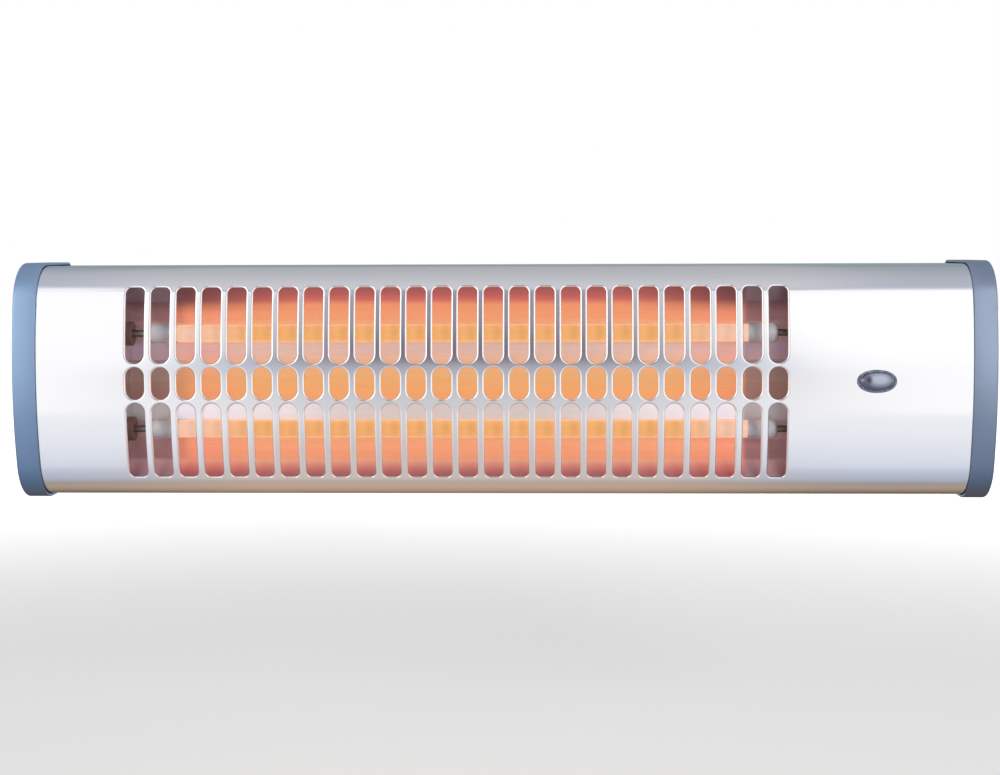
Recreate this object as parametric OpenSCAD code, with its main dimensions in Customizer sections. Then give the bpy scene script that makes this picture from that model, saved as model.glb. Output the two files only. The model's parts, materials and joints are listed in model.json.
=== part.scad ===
// Wall-hung electric bar heater: two quartz tubes in front of a folded reflector,
// behind one bowed steel front with rows of pressed slots, between moulded end caps.
// X runs along the heater, the front faces -Y and the wall is the plane y = 0.
// The origin is the middle of the wall bracket's two screw holes, on the wall.

/* [Housing] */
// Length over both end caps
body_len = 553; // [520:1:640]
// Height over the end caps
body_h = 135.8; // [126:0.2:150]
// Depth from the front of the end caps to the back plate
body_depth = 78; // [74:1:95]
// Radius of the bowed front
front_r = 223; // [180:1:320]
// Radius of the front's upper and lower corners
corner_r = 25.6; // [20:0.2:28]
// Thickness of the steel front
shell_t = 0.8; // [0.6:0.1:1]
// How far the end caps stand proud of the steel front
cap_proud = 1.9; // [1.1:0.1:2.4]
// Width of the band that shows of each end cap
cap_band = 13.3; // [9:0.1:16]
// Edge radius of the end caps
cap_edge_r = 1.4; // [1:0.2:4]
// Wall thickness inside the end caps
cap_wall = 2; // [1.6:0.2:3]
// Length of the end caps' spigots inside the steel front
spigot_len = 13; // [10:1:16]
// Thickness of the back plate
plate_t = 1; // [0.8:0.1:1.5]
// Width of the steel front's turned-in rear edges
hem_w = 9; // [8:0.5:12]
// Running clearance round parts that slip together
slip = 0.3; // [0.2:0.05:0.4]

/* [Grille] */
// Number of slot columns
columns = 26; // [10:1:28]
// Distance between slot columns
column_pitch = 14.48; // [14:0.02:14.6]
// Middle of the slot field, left of the heater's middle
grille_shift = 25.9; // [20:0.1:30]
// Clear width of a slot
slot_w = 10.3; // [8:0.1:10.6]
// Clear height of the slots in the middle row
mid_slot_h = 18; // [14:0.5:18.4]
// Nearest edge of the long slots to the middle
long_slot_from = 11.4; // [11:0.1:14]
// Furthest edge of the long slots from the middle
long_slot_to = 53.8; // [48:0.2:54]
// Corner radius at the long slots' outer ends
long_slot_r = 2.9; // [2:0.1:5]
// Width of the pressed rim round each slot
rim_w = 1.25; // [0.8:0.05:1.3]
// Step from the steel front down to the pressed rim
rim_sink = 0.5; // [0.2:0.1:0.6]
// Depth of the rim's turned-in wall
rim_depth = 1.6; // [1.2:0.1:2]

/* [Heating tubes] */
// Outer diameter of the quartz tubes
tube_d = 10; // [8:0.5:11]
// Wall thickness of the quartz tubes
tube_wall = 1; // [0.8:0.1:1.2]
// Distance between the two tubes
tube_pitch = 54.8; // [46:0.2:60]
// Depth of the tubes behind the front
tube_depth = 20; // [18:0.5:24]
// Middle of the tubes, left of the heater's middle
tube_shift = 22.8; // [20:0.1:26]
// Length over the tubes' ceramic end caps
tube_len = 358.8; // [350:0.2:364]
// Length of each ceramic end cap
ceramic_len = 17; // [14:0.5:20]
// Wall of the ceramic end caps round the quartz
ceramic_wall = 0.6; // [0.5:0.1:1]
// Diameter of the heating wire
coil_wire = 1; // [0.8:0.1:1.2]
// Diameter of the heating coil, centre to centre
coil_d = 5.6; // [4:0.2:6]
// Turns in each heating coil
coil_turns = 44; // [30:1:46]
// Diameter of the terminal studs
stud_d = 4; // [3:0.5:4]
// Distance from the ceramic end caps to the end plates
end_gap = 12.6; // [8:0.2:14]

/* [Reflector] */
// Thickness of the reflector sheet
reflector_t = 0.6; // [0.5:0.1:0.8]
// Depth of the flats behind the tubes
trough_depth = 30; // [29:0.5:40]
// Half height of the ridge between the tubes
ridge_half = 11.5; // [9:0.5:13]
// Lean of the ridge's sides at its foot
ridge_foot_lean = 31; // [25:1:35]
// Lean of the ridge's sides at its crest
ridge_crest_lean = 43; // [38:1:48]
// Furthest edge of a flat from the middle
flat_to = 33; // [30:0.5:36]
// Furthest edge of a trough's curled side from the middle
curl_to = 46; // [42:0.5:48]
// Lean of the curled side where it leaves the flat
curl_start_lean = 18; // [10:1:25]
// Lean of the curled side at its outer edge
curl_end_lean = 46; // [35:1:50]
// Front edge of the reflector's side walls, from the middle
mouth_to = 57; // [54:0.5:57]
// Depth of the reflector's front edge
mouth_depth = 16; // [15:0.5:18]
// Width of the lip along the reflector's front edge
mouth_lip = 2.5; // [1.5:0.5:3]
// Thickness of the end plates
end_plate_t = 1; // [0.8:0.1:1.5]

/* [Pilot lamp] */
// Middle of the lamp, right of the heater's middle
lamp_x = 209.5; // [200:0.5:215]
// Height of the lamp above the heater's middle
lamp_z = 1; // [-4:0.5:4]
// Length of the lamp's bezel
lamp_w = 22.2; // [20:0.2:24]
// Height of the lamp's bezel
lamp_h = 13; // [12:0.2:14]

/* [Switch and wiring] */
// Travel of the pull switch
pull_travel = 6; // [3:0.5:8]
// Diameter of the pull rod
pull_rod_d = 5; // [4:0.2:5.4]
// Diameter of the insulated leads
lead_d = 2.4; // [2:0.1:2.6]
// Bore of the mains cable inlet
cable_bore = 8; // [6:0.5:9]

/* [Wall bracket] */
// Distance from the wall to the back plate
wall_gap = 35; // [32:0.5:45]
// Distance between the two wall screws
screw_span = 200; // [120:5:240]
// Diameter of the wall screw holes
wall_hole_d = 5.5; // [4:0.5:7]
// Distance between the outer faces of the bracket's ears
ear_span = 300; // [270:2:320]
// Height of the bracket's wall strip
strip_h = 30; // [24:1:40]
// Thickness of the bracket's steel
bracket_t = 2; // [1.5:0.5:3]
// Inner radius of the bracket's and the lugs' bends
bend_in = 2; // [1:0.5:4]
// Distance from the wall to the pivot
pivot_out = 22; // [20:0.5:24]
// Radius of the ears round the pivot
ear_r = 12; // [9:0.5:12]
// Diameter of the pivot bolts
pivot_d = 5; // [4:0.5:6]
// Radial clearance of the pivot
pivot_fit = 0.06; // [0.03:0.01:0.1]

/* [Hidden] */
$fn = 64;
eps = 0.01;

// Places along Y
back_y = -wall_gap;
plate_y = back_y - plate_t;
front_y = plate_y - body_depth;
tube_y = front_y + tube_depth;

// Housing section: half height, and the centre of the front's corner arcs
half_h = body_h / 2;
corner_z = half_h - corner_r;
corner_depth = front_r - sqrt(pow(front_r - corner_r, 2) - corner_z * corner_z);
shell_inset = cap_proud + shell_t;
cap_in_x = body_len / 2 - cap_band;
cap_floor_x = body_len / 2 - cap_wall - 0.5;
shell_end_x = cap_in_x + 5;
cap_rear = body_depth + 1.6;
spigot_x = cap_in_x - spigot_len;
spigot_rear = body_depth - shell_t - slip;
rear_corner_r = 5;
hem_z = half_h - shell_inset - hem_w;
vents_each_side = 4;
vent_pitch = 30;
vent_z = 48;
vent_w = 4;
vent_len = 20;

// Screws
screw_d = 3.4;
screw_head_d = 6.8;
screw_head_h = 2.2;
screw_slip = 0.1;
boss_r = 4.5;
cap_boss_x = spigot_x + boss_r + 1;
cap_boss_z = 45;
hem_screw_z = half_h - shell_inset - hem_w / 2;
hem_screw_xs = [-150, 0, 150];
hem_screw_len = 6;
cap_screw_len = 12;
foot_screw_len = 6;
tab_screw_len = 5;
switch_screw_len = 8;
block_screw_len = 4.5;
cutout_screw_len = 4;
lug_screw_len = 6.5;
past_screw = 1;

// Grille
columns_from = -grille_shift - (columns - 1) * column_pitch / 2;
long_slot_h = long_slot_to - long_slot_from;
long_slot_z = (long_slot_to + long_slot_from) / 2;
lap = 0.15;

// Tubes
tube_mid = -tube_shift;
tube_half = tube_len / 2;
plate_u = tube_half + end_gap;
glass_half = tube_half - ceramic_len + 9.6;
coil_half = tube_half - ceramic_len - 2.4;
stud_from = coil_half + 8;
bush_flange_t = 3.5;
bush_flange_r = 7;
bush_out = 4;
bush_u = plate_u + end_plate_t + bush_out;
nut_t = 3.2;
nut_across = 7;
ring_t = 0.8;
ring_u = bush_u + nut_t;
stud_to = ring_u + 2 * ring_t + nut_t + 2.5;
ring_r = 5;
barrel_r = 1.7;
barrel_len = 8;
left_plate_x = tube_mid - plate_u;
right_plate_x = tube_mid + plate_u;

// Reflector and end plates
ridge_r = ridge_half / (sin(ridge_crest_lean) - sin(ridge_foot_lean));
curl_r = (curl_to - flat_to) / (sin(curl_end_lean) - sin(curl_start_lean));
curve_steps = 6;
function between(a, b, i) = a + (b - a) * i / curve_steps;
function ridge_point(lean) = [
    trough_depth - ridge_r * (cos(ridge_foot_lean) - cos(lean)),
    ridge_r * (sin(ridge_crest_lean) - sin(lean))
];
function curl_point(lean) = [
    trough_depth - curl_r * (cos(curl_start_lean) - cos(lean)),
    flat_to + curl_r * (sin(lean) - sin(curl_start_lean))
];
upper_line = concat(
    [for (i = [0 : curve_steps]) ridge_point(between(ridge_crest_lean, ridge_foot_lean, i))],
    [for (i = [0 : curve_steps]) curl_point(between(curl_start_lean, curl_end_lean, i))],
    [[mouth_depth, mouth_to], [mouth_depth, mouth_to + mouth_lip]]
);
reflector_line = concat(
    [for (i = [len(upper_line) - 1 : -1 : 1]) [upper_line[i][0], -upper_line[i][1]]],
    upper_line
);
tab_z = (ridge_half + flat_to) / 2;
tab_h = 10;
tab_len = 12;
tab_screw_depth = trough_depth + reflector_t + 7;
foot_w = 12;
foot_z = 35;
foot_half = 50;
wire_hole_depth = 64;
wire_hole_z = -42;
wire_hole_r = 4.5;

// Right-hand compartment, between the right end plate's foot and the right end cap
bay_from = right_plate_x + end_plate_t + foot_w;
bay_mid = (bay_from + spigot_x) / 2;
switch_x = bay_mid + 1.3;
switch_w = 36;
switch_depth = 36;
switch_top = -16;
switch_bottom = -50;
tab_xs = [switch_x - 11.5, switch_x, switch_x + 11.5];
tab_y = plate_y - 19;
lamp_tab_y = plate_y - 30;
spade_h = 6;
rod_y = plate_y - 18;
rod_top = switch_bottom + 8 + pull_travel;
rod_bottom = 0.8 - half_h;
cord_hole_r = 1.1;
cord_hole_len = 8;
rod_slip = 0.1;
bush_r = 4.8;
block_x = bay_from + 18.8;
block_pole = 8.5;
block_z = 33;
block_h = 18;
block_depth = 16;
block_wire_y = plate_y - block_depth / 2;
switch_screws = [for (side = [-1, 1])
    [switch_x + side * 12, (switch_top + switch_bottom) / 2 + side * 11]];
block_screw = [block_x + block_pole / 2, block_z];
cutout_depth = 60;
cutout_r = 7.5;
cutout_len = 8;
cutout_tab_z = 4;
cutout_y = front_y + cutout_depth;
cutout_tip_x = right_plate_x + end_plate_t + cutout_len + 6;
earth_x = bay_from + 7.8;
earth_z = 8;
inlet_r = cable_bore / 2 + 2;
inlet_x = spigot_x - inlet_r - 8.2;
inlet_z = 38;

// Wall bracket and pivot
ear_out_x = ear_span / 2;
lug_t = 1.5;
lug_gap = 0.3;
lug_x = ear_out_x + lug_gap;
lug_r = 10;
lug_foot = 20;
lug_half = 18;
washer_t = 1;
washer_x = lug_x + lug_t + lug_gap;
pivot_nut_t = pivot_d * 0.94;
pivot_across = pivot_d * 1.6;

// Lead routes: the ends sit on the terminals, the points between are chosen by hand
stud_z = tube_pitch / 2;
barrel_y = tube_y + ring_r + barrel_len;
ring_x = ring_u + ring_t / 2;
block_low = block_z - block_h / 2;
block_high = block_z + block_h / 2;
left_link_route = [
    [tube_mid - ring_x, barrel_y, stud_z], [tube_mid - ring_x, -74, stud_z],
    [-224, -66, 24], [-224, -62, 12], [-224, -61, 0], [-224, -62, -12], [-224, -66, -24],
    [tube_mid - ring_x, -74, -stud_z], [tube_mid - ring_x, barrel_y, -stud_z]
];
neutral_route = [
    [tube_mid - ring_x - ring_t, tube_y, -stud_z - ring_r - barrel_len],
    [tube_mid - ring_x - ring_t, tube_y, -stud_z - ring_r - barrel_len - 4],
    [-225, -87, -51], [-225, -70, -50],
    [-223, -56, -44], [-219, front_y + wire_hole_depth, wire_hole_z],
    [-210, front_y + wire_hole_depth, wire_hole_z],
    [164, front_y + wire_hole_depth, wire_hole_z],
    [174, front_y + wire_hole_depth, wire_hole_z], [182, -48, -38], [187, -45, -28],
    [190, -44, -14], [block_x - block_pole, block_wire_y, 2],
    [block_x - block_pole, block_wire_y, 14], [block_x - block_pole, block_wire_y, block_low]
];
upper_live_route = [
    [tube_mid + ring_x, barrel_y, stud_z], [tube_mid + ring_x, -75, stud_z],
    [181, -67, 24], [190, -59, 14], [201, -55.5, 6],
    [tab_xs[0], tab_y, -2], [tab_xs[0], tab_y, switch_top + spade_h]
];
lower_live_route = [
    [tube_mid + ring_x, barrel_y, -stud_z], [tube_mid + ring_x, -76, -stud_z],
    [180, -70, -24], [187, -67, -12], [198, -67, -1], [211, -63, 3],
    [tab_xs[1], tab_y - 2, 0], [tab_xs[1], tab_y, -5],
    [tab_xs[1], tab_y, switch_top + spade_h]
];
cutout_route = [
    [cutout_tip_x, cutout_y, cutout_tab_z], [cutout_tip_x + 3, cutout_y, cutout_tab_z],
    [192, -52, 7], [198, -47, 11],
    [block_x, block_wire_y, 16], [block_x, block_wire_y, block_low]
];
supply_route = [
    [cutout_tip_x, cutout_y, -cutout_tab_z], [cutout_tip_x + 3, cutout_y, -cutout_tab_z],
    [193, -51, -5], [202, -48, -6],
    [214, -46, -6], [224, -48, -3], [tab_xs[2], -52, 0], [tab_xs[2], tab_y, -4],
    [tab_xs[2], tab_y, switch_top + spade_h]
];
lamp_rear_y = front_y + 12;
lamp_live_route = [
    [lamp_x + 3, lamp_rear_y, lamp_z], [lamp_x + 3, lamp_rear_y + 5, lamp_z],
    [lamp_x + 1, -86, -4],
    [tab_xs[0] + 1, -72, -5], [tab_xs[0], lamp_tab_y, -6],
    [tab_xs[0], lamp_tab_y, switch_top + spade_h]
];
lamp_neutral_route = [
    [lamp_x - 3, lamp_rear_y, lamp_z], [lamp_x - 3, lamp_rear_y + 5, lamp_z],
    [204, -84, 20],
    [199, -68, 42], [194, -52, 52], [block_x - block_pole, -45, 52],
    [block_x - block_pole, block_wire_y, 47], [block_x - block_pole, block_wire_y, block_high]
];
earth_axis_y = plate_y - ring_t - barrel_r;
earth_route = [
    [earth_x + ring_r + barrel_len, earth_axis_y, earth_z],
    [earth_x + ring_r + barrel_len + 2.5, earth_axis_y, earth_z],
    [block_x + block_pole - 0.4, -41.5, 12], [block_x + block_pole, block_wire_y, 19],
    [block_x + block_pole, block_wire_y, block_low]
];

// ---------- shared shapes ----------

// Extrudes an outline of [depth, height] along X, between two places
module along_x(x0, x1) {
    translate([x0, front_y, 0])
        rotate([90, 0, 90])
            linear_extrude(x1 - x0) children();
}

// Extrudes an outline of [x, z] along Y, between two places
module along_y(y0, y1) {
    translate([0, y1, 0])
        rotate([90, 0, 0])
            linear_extrude(y1 - y0) children();
}

module rod_along_x(x0, x1, r) {
    translate([x0, 0, 0])
        rotate([0, 90, 0])
            cylinder(h = x1 - x0, r = r);
}

module rod_along_y(y0, y1, r) {
    translate([0, y1, 0])
        rotate([90, 0, 0])
            cylinder(h = y1 - y0, r = r);
}

// The housing's outline, drawn in by inset: a bowed front, round corners, straight walls
module section(inset, rear) {
    z = half_h - inset;
    reach = corner_r + 10;
    out = [(corner_depth - front_r), corner_z] * (reach / (front_r - corner_r));
    intersection() {
        translate([front_r, 0]) circle(r = front_r - inset, $fn = 360);
        polygon([
            [corner_depth, corner_z], [corner_depth + out[0], corner_z + out[1]],
            [corner_depth + out[0], -corner_z - out[1]], [corner_depth, -corner_z]
        ]);
    }
    for (side = [-1, 1])
        translate([corner_depth, side * corner_z]) circle(r = corner_r - inset, $fn = 120);
    translate([corner_depth, -z]) square([rear - corner_depth, 2 * z]);
}

// A slot outline with round ends, standing upright
module stadium(w, h) {
    translate([-w / 2, w / 2 - h / 2]) square([w, h - w]);
    for (side = [-1, 1])
        translate([0, side * (h - w) / 2]) circle(d = w);
}

// A slot of the outer rows, round towards the middle and squarer at its outer end
module long_slot(w, h, corner) {
    translate([0, w / 2 - h / 2]) circle(d = w);
    translate([-w / 2, w / 2 - h / 2]) square([w, h - w / 2 - corner]);
    translate([corner - w / 2, h / 2 - corner - eps]) square([w - 2 * corner, corner + eps]);
    for (side = [-1, 1])
        translate([side * (w / 2 - corner), h / 2 - corner]) circle(r = corner);
}

// Every slot of the grille, each grown by the same margin all round
module slot_field(grow) {
    for (i = [0 : columns - 1])
        translate([columns_from + i * column_pitch, 0]) {
            stadium(slot_w + 2 * grow, mid_slot_h + 2 * grow);
            for (turn = [0, 180])
                rotate(turn) translate([0, long_slot_z])
                    long_slot(slot_w + 2 * grow, long_slot_h + 2 * grow, long_slot_r + grow);
        }
}

// An oval of four arcs, tangent where they meet
module oval(w, h) {
    a = w / 2;
    b = h / 2;
    end_r = b * 0.62;
    top_r = (pow(a - end_r, 2) + b * b - end_r * end_r) / (2 * (b - end_r));
    meet_x = (a - end_r) * top_r / (top_r - end_r);
    intersection() {
        translate([0, b - top_r]) circle(r = top_r);
        translate([0, top_r - b]) circle(r = top_r);
        square([2 * meet_x, h + 1], center = true);
    }
    for (side = [-1, 1])
        translate([side * (a - end_r), 0]) circle(r = end_r);
}

function unit(v) = v / norm(v);
function side_of(a, b) = let (d = unit(b - a)) [-d[1], d[0]];
function bend_normal(line, i) =
    let (
        last = len(line) - 1,
        before = side_of(line[max(i, 1) - 1], line[max(i, 1)]),
        after = side_of(line[min(i, last - 1)], line[min(i, last - 1) + 1])
    ) (before + after) / (1 + before * after);
// The outline of a sheet of even thickness, folded along a line
function folded_sheet(line, t) = concat(
    line, [for (i = [len(line) - 1 : -1 : 0]) line[i] - t * bend_normal(line, i)]
);

// A smooth curve through a route's points, with its first and last stretch straight
function smooth_point(a, b, c, d, t) =
    0.5 * (2 * b + (c - a) * t + (2 * a - 5 * b + 4 * c - d) * t * t
        + (3 * b - a - 3 * c + d) * t * t * t);
function smooth(route, steps) = concat(
    [route[0]],
    [for (i = [1 : len(route) - 3]) for (k = [0 : steps - 1])
        smooth_point(route[i - 1], route[i], route[i + 1], route[i + 2], k / steps)],
    [route[len(route) - 2], route[len(route) - 1]]
);
function heading(path, i) = unit(path[min(i + 1, len(path) - 1)] - path[max(i - 1, 0)]);
function carried(n, t) = unit(n - (n * t) * t);
// A normal at each point, carried along the path without twisting
function normals(path, i = 0, found = []) =
    i == len(path) ? found :
    let (
        t = heading(path, i),
        start = abs(t[2]) < 0.8 ? [0, 0, 1] : [1, 0, 0],
        n = carried(i == 0 ? start : found[i - 1], t)
    ) normals(path, i + 1, concat(found, [n]));

// One unbroken round tube along a path
module swept_tube(path, r, sides) {
    across = normals(path);
    rings = len(path);
    corners = [for (i = [0 : rings - 1]) for (k = [0 : sides - 1])
        let (t = heading(path, i), n = across[i], a = 360 * k / sides)
            path[i] + r * (cos(a) * n + sin(a) * cross(t, n))];
    walls = [for (i = [0 : rings - 2]) for (k = [0 : sides - 1])
        let (j = (k + 1) % sides, a = i * sides, b = a + sides)
            each [[a + k, b + k, b + j], [a + k, b + j, a + j]]];
    ends = [for (k = [1 : sides - 2]) each [
        [0, k, k + 1],
        [(rings - 1) * sides, (rings - 1) * sides + k + 1, (rings - 1) * sides + k]
    ]];
    polyhedron(points = corners, faces = concat(walls, ends), convexity = 4);
}

module lead(route, d, steps = 3) {
    swept_tube(smooth(route, steps), d / 2, 8);
}

// A pan-head screw along +Y: the head's seat is at the origin, the shank runs to -Y
module pan_screw(length, d = screw_d, head_d = screw_head_d, head_h = screw_head_h) {
    rotate([90, 0, 0]) {
        cylinder(h = length, d = d);
        intersection() {
            translate([0, 0, -head_h]) cylinder(h = head_h, d = head_d);
            translate([0, 0, head_d - head_h]) sphere(r = head_d, $fn = 48);
        }
    }
}

// The bore for a screw that comes through the back plate
module screw_bore(length) {
    rod_along_y(back_y - length - past_screw, plate_y + 1, screw_d / 2 + screw_slip);
}

// Places a revolved piece on one end of one tube: its own +Z points away from the middle
module at_tube_end(side, level) {
    translate([tube_mid, tube_y, level * stud_z])
        rotate([0, side * 90, 0]) children();
}

// ---------- housing ----------

module front_shell() {
    color("gainsboro") {
        difference() {
            along_x(-shell_end_x, shell_end_x)
                difference() {
                    section(cap_proud, body_depth);
                    section(shell_inset, body_depth - shell_t);
                    translate([body_depth - shell_t - eps, -hem_z])
                        square([shell_t + 1, 2 * hem_z]);
                }
            along_y(front_y - 1, front_y + corner_depth + 4) slot_field(rim_w);
            along_y(front_y - 1, front_y + corner_depth)
                translate([lamp_x, lamp_z]) oval(lamp_w - 1.6 + slip, lamp_h - 1.6 + slip);
            for (x = hem_screw_xs) for (side = [-1, 1])
                translate([x, 0, side * hem_screw_z])
                    rod_along_y(plate_y - 2, plate_y + 1, screw_d / 2 + screw_slip);
            translate([switch_x, rod_y, -half_h])
                cylinder(h = 8, r = bush_r + screw_slip);
        }
        pressed_rims();
    }
}

// The turned-in rims, which follow the bowed front
module pressed_rims() {
    from_x = columns_from - slot_w;
    to_x = columns_from + (columns - 1) * column_pitch + slot_w;
    intersection() {
        along_y(front_y - 1, front_y + corner_depth + 4)
            difference() {
                slot_field(rim_w + lap);
                slot_field(0);
            }
        along_x(from_x, to_x)
            difference() {
                section(cap_proud + rim_sink, body_depth);
                section(cap_proud + rim_sink + rim_depth, body_depth);
            }
    }
}

// One moulded end cap, drawn at the right-hand end
module end_cap() {
    color("steelblue") {
        difference() {
            hull()
                for (step = [0 : 4]) {
                    turn = step * 22.5;
                    inset = cap_edge_r * (1 - cos(turn));
                    x = body_len / 2 - cap_edge_r * (1 - sin(turn));
                    cap_slice(step == 0 ? cap_in_x : x - eps, x, inset);
                }
            along_x(cap_in_x - 1, shell_end_x + slip)
                section(cap_proud - slip / 2, body_depth + slip / 2);
            along_x(shell_end_x, cap_floor_x)
                section(shell_inset + slip + cap_wall, spigot_rear - cap_wall);
        }
        difference() {
            union() {
                along_x(spigot_x, cap_floor_x + eps)
                    difference() {
                        section(shell_inset + slip, spigot_rear);
                        section(shell_inset + slip + cap_wall, spigot_rear - cap_wall);
                    }
                for (side = [-1, 1])
                    translate([cap_boss_x, 0, side * cap_boss_z])
                        rod_along_y(front_y + spigot_rear - 14, plate_y, boss_r);
            }
            for (side = [-1, 1])
                translate([cap_boss_x, 0, side * cap_boss_z])
                    screw_bore(cap_screw_len);
        }
    }
}

module cap_slice(x0, x1, inset) {
    rear = cap_rear - inset;
    along_x(x0, x1) {
        section(inset, rear - rear_corner_r, $fn = 96);
        for (side = [-1, 1])
            translate([rear - rear_corner_r, side * (half_h - inset - rear_corner_r)])
                circle(r = rear_corner_r, $fn = 32);
    }
}

module right_end_cap() {
    end_cap();
}

module left_end_cap() {
    mirror([1, 0, 0]) end_cap();
}

module back_plate() {
    half_x = cap_in_x - 0.5;
    half_z = half_h - cap_proud - 1.5;
    color("silver")
        along_y(plate_y, back_y)
            difference() {
                square([2 * half_x, 2 * half_z], center = true);
                for (x = hem_screw_xs) for (side = [-1, 1])
                    translate([x, side * hem_screw_z]) circle(d = screw_d + 2 * screw_slip);
                for (x = [-cap_boss_x, cap_boss_x]) for (side = [-1, 1])
                    translate([x, side * cap_boss_z]) circle(d = screw_d + 2 * screw_slip);
                for (x = [left_foot_x(), right_foot_x()]) for (side = [-1, 1])
                    translate([x, side * foot_z]) circle(d = screw_d + 2 * screw_slip);
                for (side = [-1, 1]) for (level = [-1, 1])
                    translate([side * lug_screw_x(), level * lug_screw_z()])
                        circle(d = screw_d + 2 * screw_slip);
                for (place = concat(switch_screws, [block_screw]))
                    translate(place) circle(d = screw_d + 2 * screw_slip);
                translate([earth_x, earth_z]) circle(d = screw_d + 2 * screw_slip);
                translate([inlet_x, inlet_z]) circle(r = inlet_r + screw_slip);
                vent_slots();
            }
}

function left_foot_x() = left_plate_x - foot_w / 2 - end_plate_t;
function right_foot_x() = right_plate_x + foot_w / 2 + end_plate_t;
function lug_screw_x() = lug_x + lug_foot / 2 + 2;
function lug_screw_z() = lug_half - 6;

// Two rows of ventilation slots
module vent_slots() {
    for (i = [-vents_each_side : vents_each_side]) for (side = [-1, 1])
        if (i != 0)
            translate([i * vent_pitch, side * vent_z]) rotate(90) stadium(vent_w, vent_len);
}

module back_plate_screws() {
    color("silver")
        for (x = hem_screw_xs) for (side = [-1, 1])
            translate([x, back_y, side * hem_screw_z]) pan_screw(hem_screw_len);
}

module end_cap_screws() {
    color("silver")
        for (x = [-cap_boss_x, cap_boss_x]) for (side = [-1, 1])
            translate([x, back_y, side * cap_boss_z]) pan_screw(cap_screw_len);
}

// ---------- reflector and heating tubes ----------

module reflector() {
    half = plate_u;
    color("lightgray") {
        along_x(tube_mid - half, tube_mid + half)
            polygon(folded_sheet(reflector_line, reflector_t));
        for (side = [-1, 1]) for (level = [-1, 1])
            reflector_tab(side, level);
    }
}

// A tab turned back from a trough's end, against the end plate
module reflector_tab(side, level) {
    x = tube_mid + side * (plate_u - reflector_t / 2);
    along_x(x - reflector_t / 2, x + reflector_t / 2)
        difference() {
            translate([trough_depth + reflector_t / 2, level * tab_z - tab_h / 2])
                square([tab_len, tab_h]);
            translate([tab_screw_depth, level * tab_z]) circle(d = screw_d + 2 * screw_slip);
        }
}

// An end plate, drawn on the right: its foot turns away from the tubes
module end_plate() {
    x = plate_u;
    color("silver")
        translate([tube_mid, 0, 0]) {
            along_x(x, x + end_plate_t)
                difference() {
                    union() {
                        section(shell_inset + slip, body_depth - shell_t - slip);
                        translate([body_depth / 2, -foot_half])
                            square([body_depth / 2, 2 * foot_half]);
                    }
                    for (level = [-1, 1]) {
                        translate([tube_depth, level * stud_z])
                            circle(r = bush_flange_r - 2 + screw_slip);
                        translate([tab_screw_depth, level * tab_z])
                            circle(d = screw_d + 2 * screw_slip);
                        translate([cutout_depth, level * (cutout_r + 4)])
                            circle(d = screw_d + 2 * screw_slip);
                    }
                    translate([wire_hole_depth, wire_hole_z]) circle(r = wire_hole_r + screw_slip);
                }
            difference() {
                translate([x, plate_y - end_plate_t, -foot_half])
                    cube([foot_w + end_plate_t, end_plate_t, 2 * foot_half]);
                for (side = [-1, 1])
                    translate([x + end_plate_t + foot_w / 2, 0, side * foot_z])
                        rod_along_y(plate_y - 3, plate_y + 1, screw_d / 2 + screw_slip);
            }
        }
}

module right_end_plate() {
    end_plate();
}

module left_end_plate() {
    translate([2 * tube_mid, 0, 0]) mirror([1, 0, 0]) end_plate();
}

module end_plate_screws() {
    color("silver")
        for (x = [left_foot_x(), right_foot_x()]) for (side = [-1, 1])
            translate([x, back_y, side * foot_z]) pan_screw(foot_screw_len);
}

module reflector_screws() {
    color("silver")
        for (side = [-1, 1]) for (level = [-1, 1])
            translate([tube_mid + side * (plate_u + end_plate_t),
                front_y + tab_screw_depth, level * tab_z])
                rotate([0, 0, -90 * side]) pan_screw(tab_screw_len);
}

module quartz_tube(level) {
    color("lightyellow")
        translate([tube_mid, tube_y, level * stud_z])
            difference() {
                rod_along_x(-glass_half, glass_half, tube_d / 2);
                rod_along_x(-glass_half - 1, glass_half + 1, tube_d / 2 - tube_wall);
            }
}

// The coil's path: straight tails on the axis, then even turns between them
coil_rings = 8;
function coil_point(i) =
    let (
        steps = coil_turns * coil_rings,
        lead_in = coil_rings,
        turn = 360 * i / coil_rings,
        near = min(i, steps - i) / lead_in,
        r = coil_d / 2 * min(near, 1)
    ) [-coil_half + 2 * coil_half * i / steps, r * cos(turn), r * sin(turn)];
coil_path = concat(
    [[-stud_from, 0, 0], [-stud_from + 3, 0, 0]],
    [for (i = [0 : coil_turns * coil_rings]) coil_point(i)],
    [[stud_from - 3, 0, 0], [stud_from, 0, 0]]
);
// The least distance between one turn and the next, less the wire
coil_gap = min([for (i = [0 : (coil_turns - 1) * coil_rings - 1]) for (k = [-2 : 2])
    norm(coil_point(i) - coil_point(max(i + coil_rings + k, i + coil_rings - 2)))]) - coil_wire;
echo(coil_gap_to_itself_mm = coil_gap);

module heating_coil(level) {
    color("orange")
        translate([tube_mid, tube_y, level * stud_z])
            swept_tube(coil_path, coil_wire / 2, 6);
}

// A ceramic end cap: a socket for the quartz, a bore for the stud and a rounded end
module ceramic_cap(side, level) {
    r = tube_d / 2 + ceramic_wall;
    from = tube_half - ceramic_len;
    round_r = 2.5;
    color("whitesmoke")
        at_tube_end(side, level)
            translate([0, 0, from])
                difference() {
                    union() {
                        cylinder(h = ceramic_len - round_r, r = r);
                        cylinder(h = ceramic_len, r = r - round_r);
                        translate([0, 0, ceramic_len - round_r])
                            rotate_extrude()
                                intersection() {
                                    translate([r - round_r, 0]) circle(r = round_r);
                                    square([r, round_r]);
                                }
                    }
                    translate([0, 0, -1])
                        cylinder(h = glass_half - from + 1 + slip, r = tube_d / 2 + 0.1);
                    cylinder(h = ceramic_len + 1, r = stud_d / 2 + 0.05);
                }
}

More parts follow.
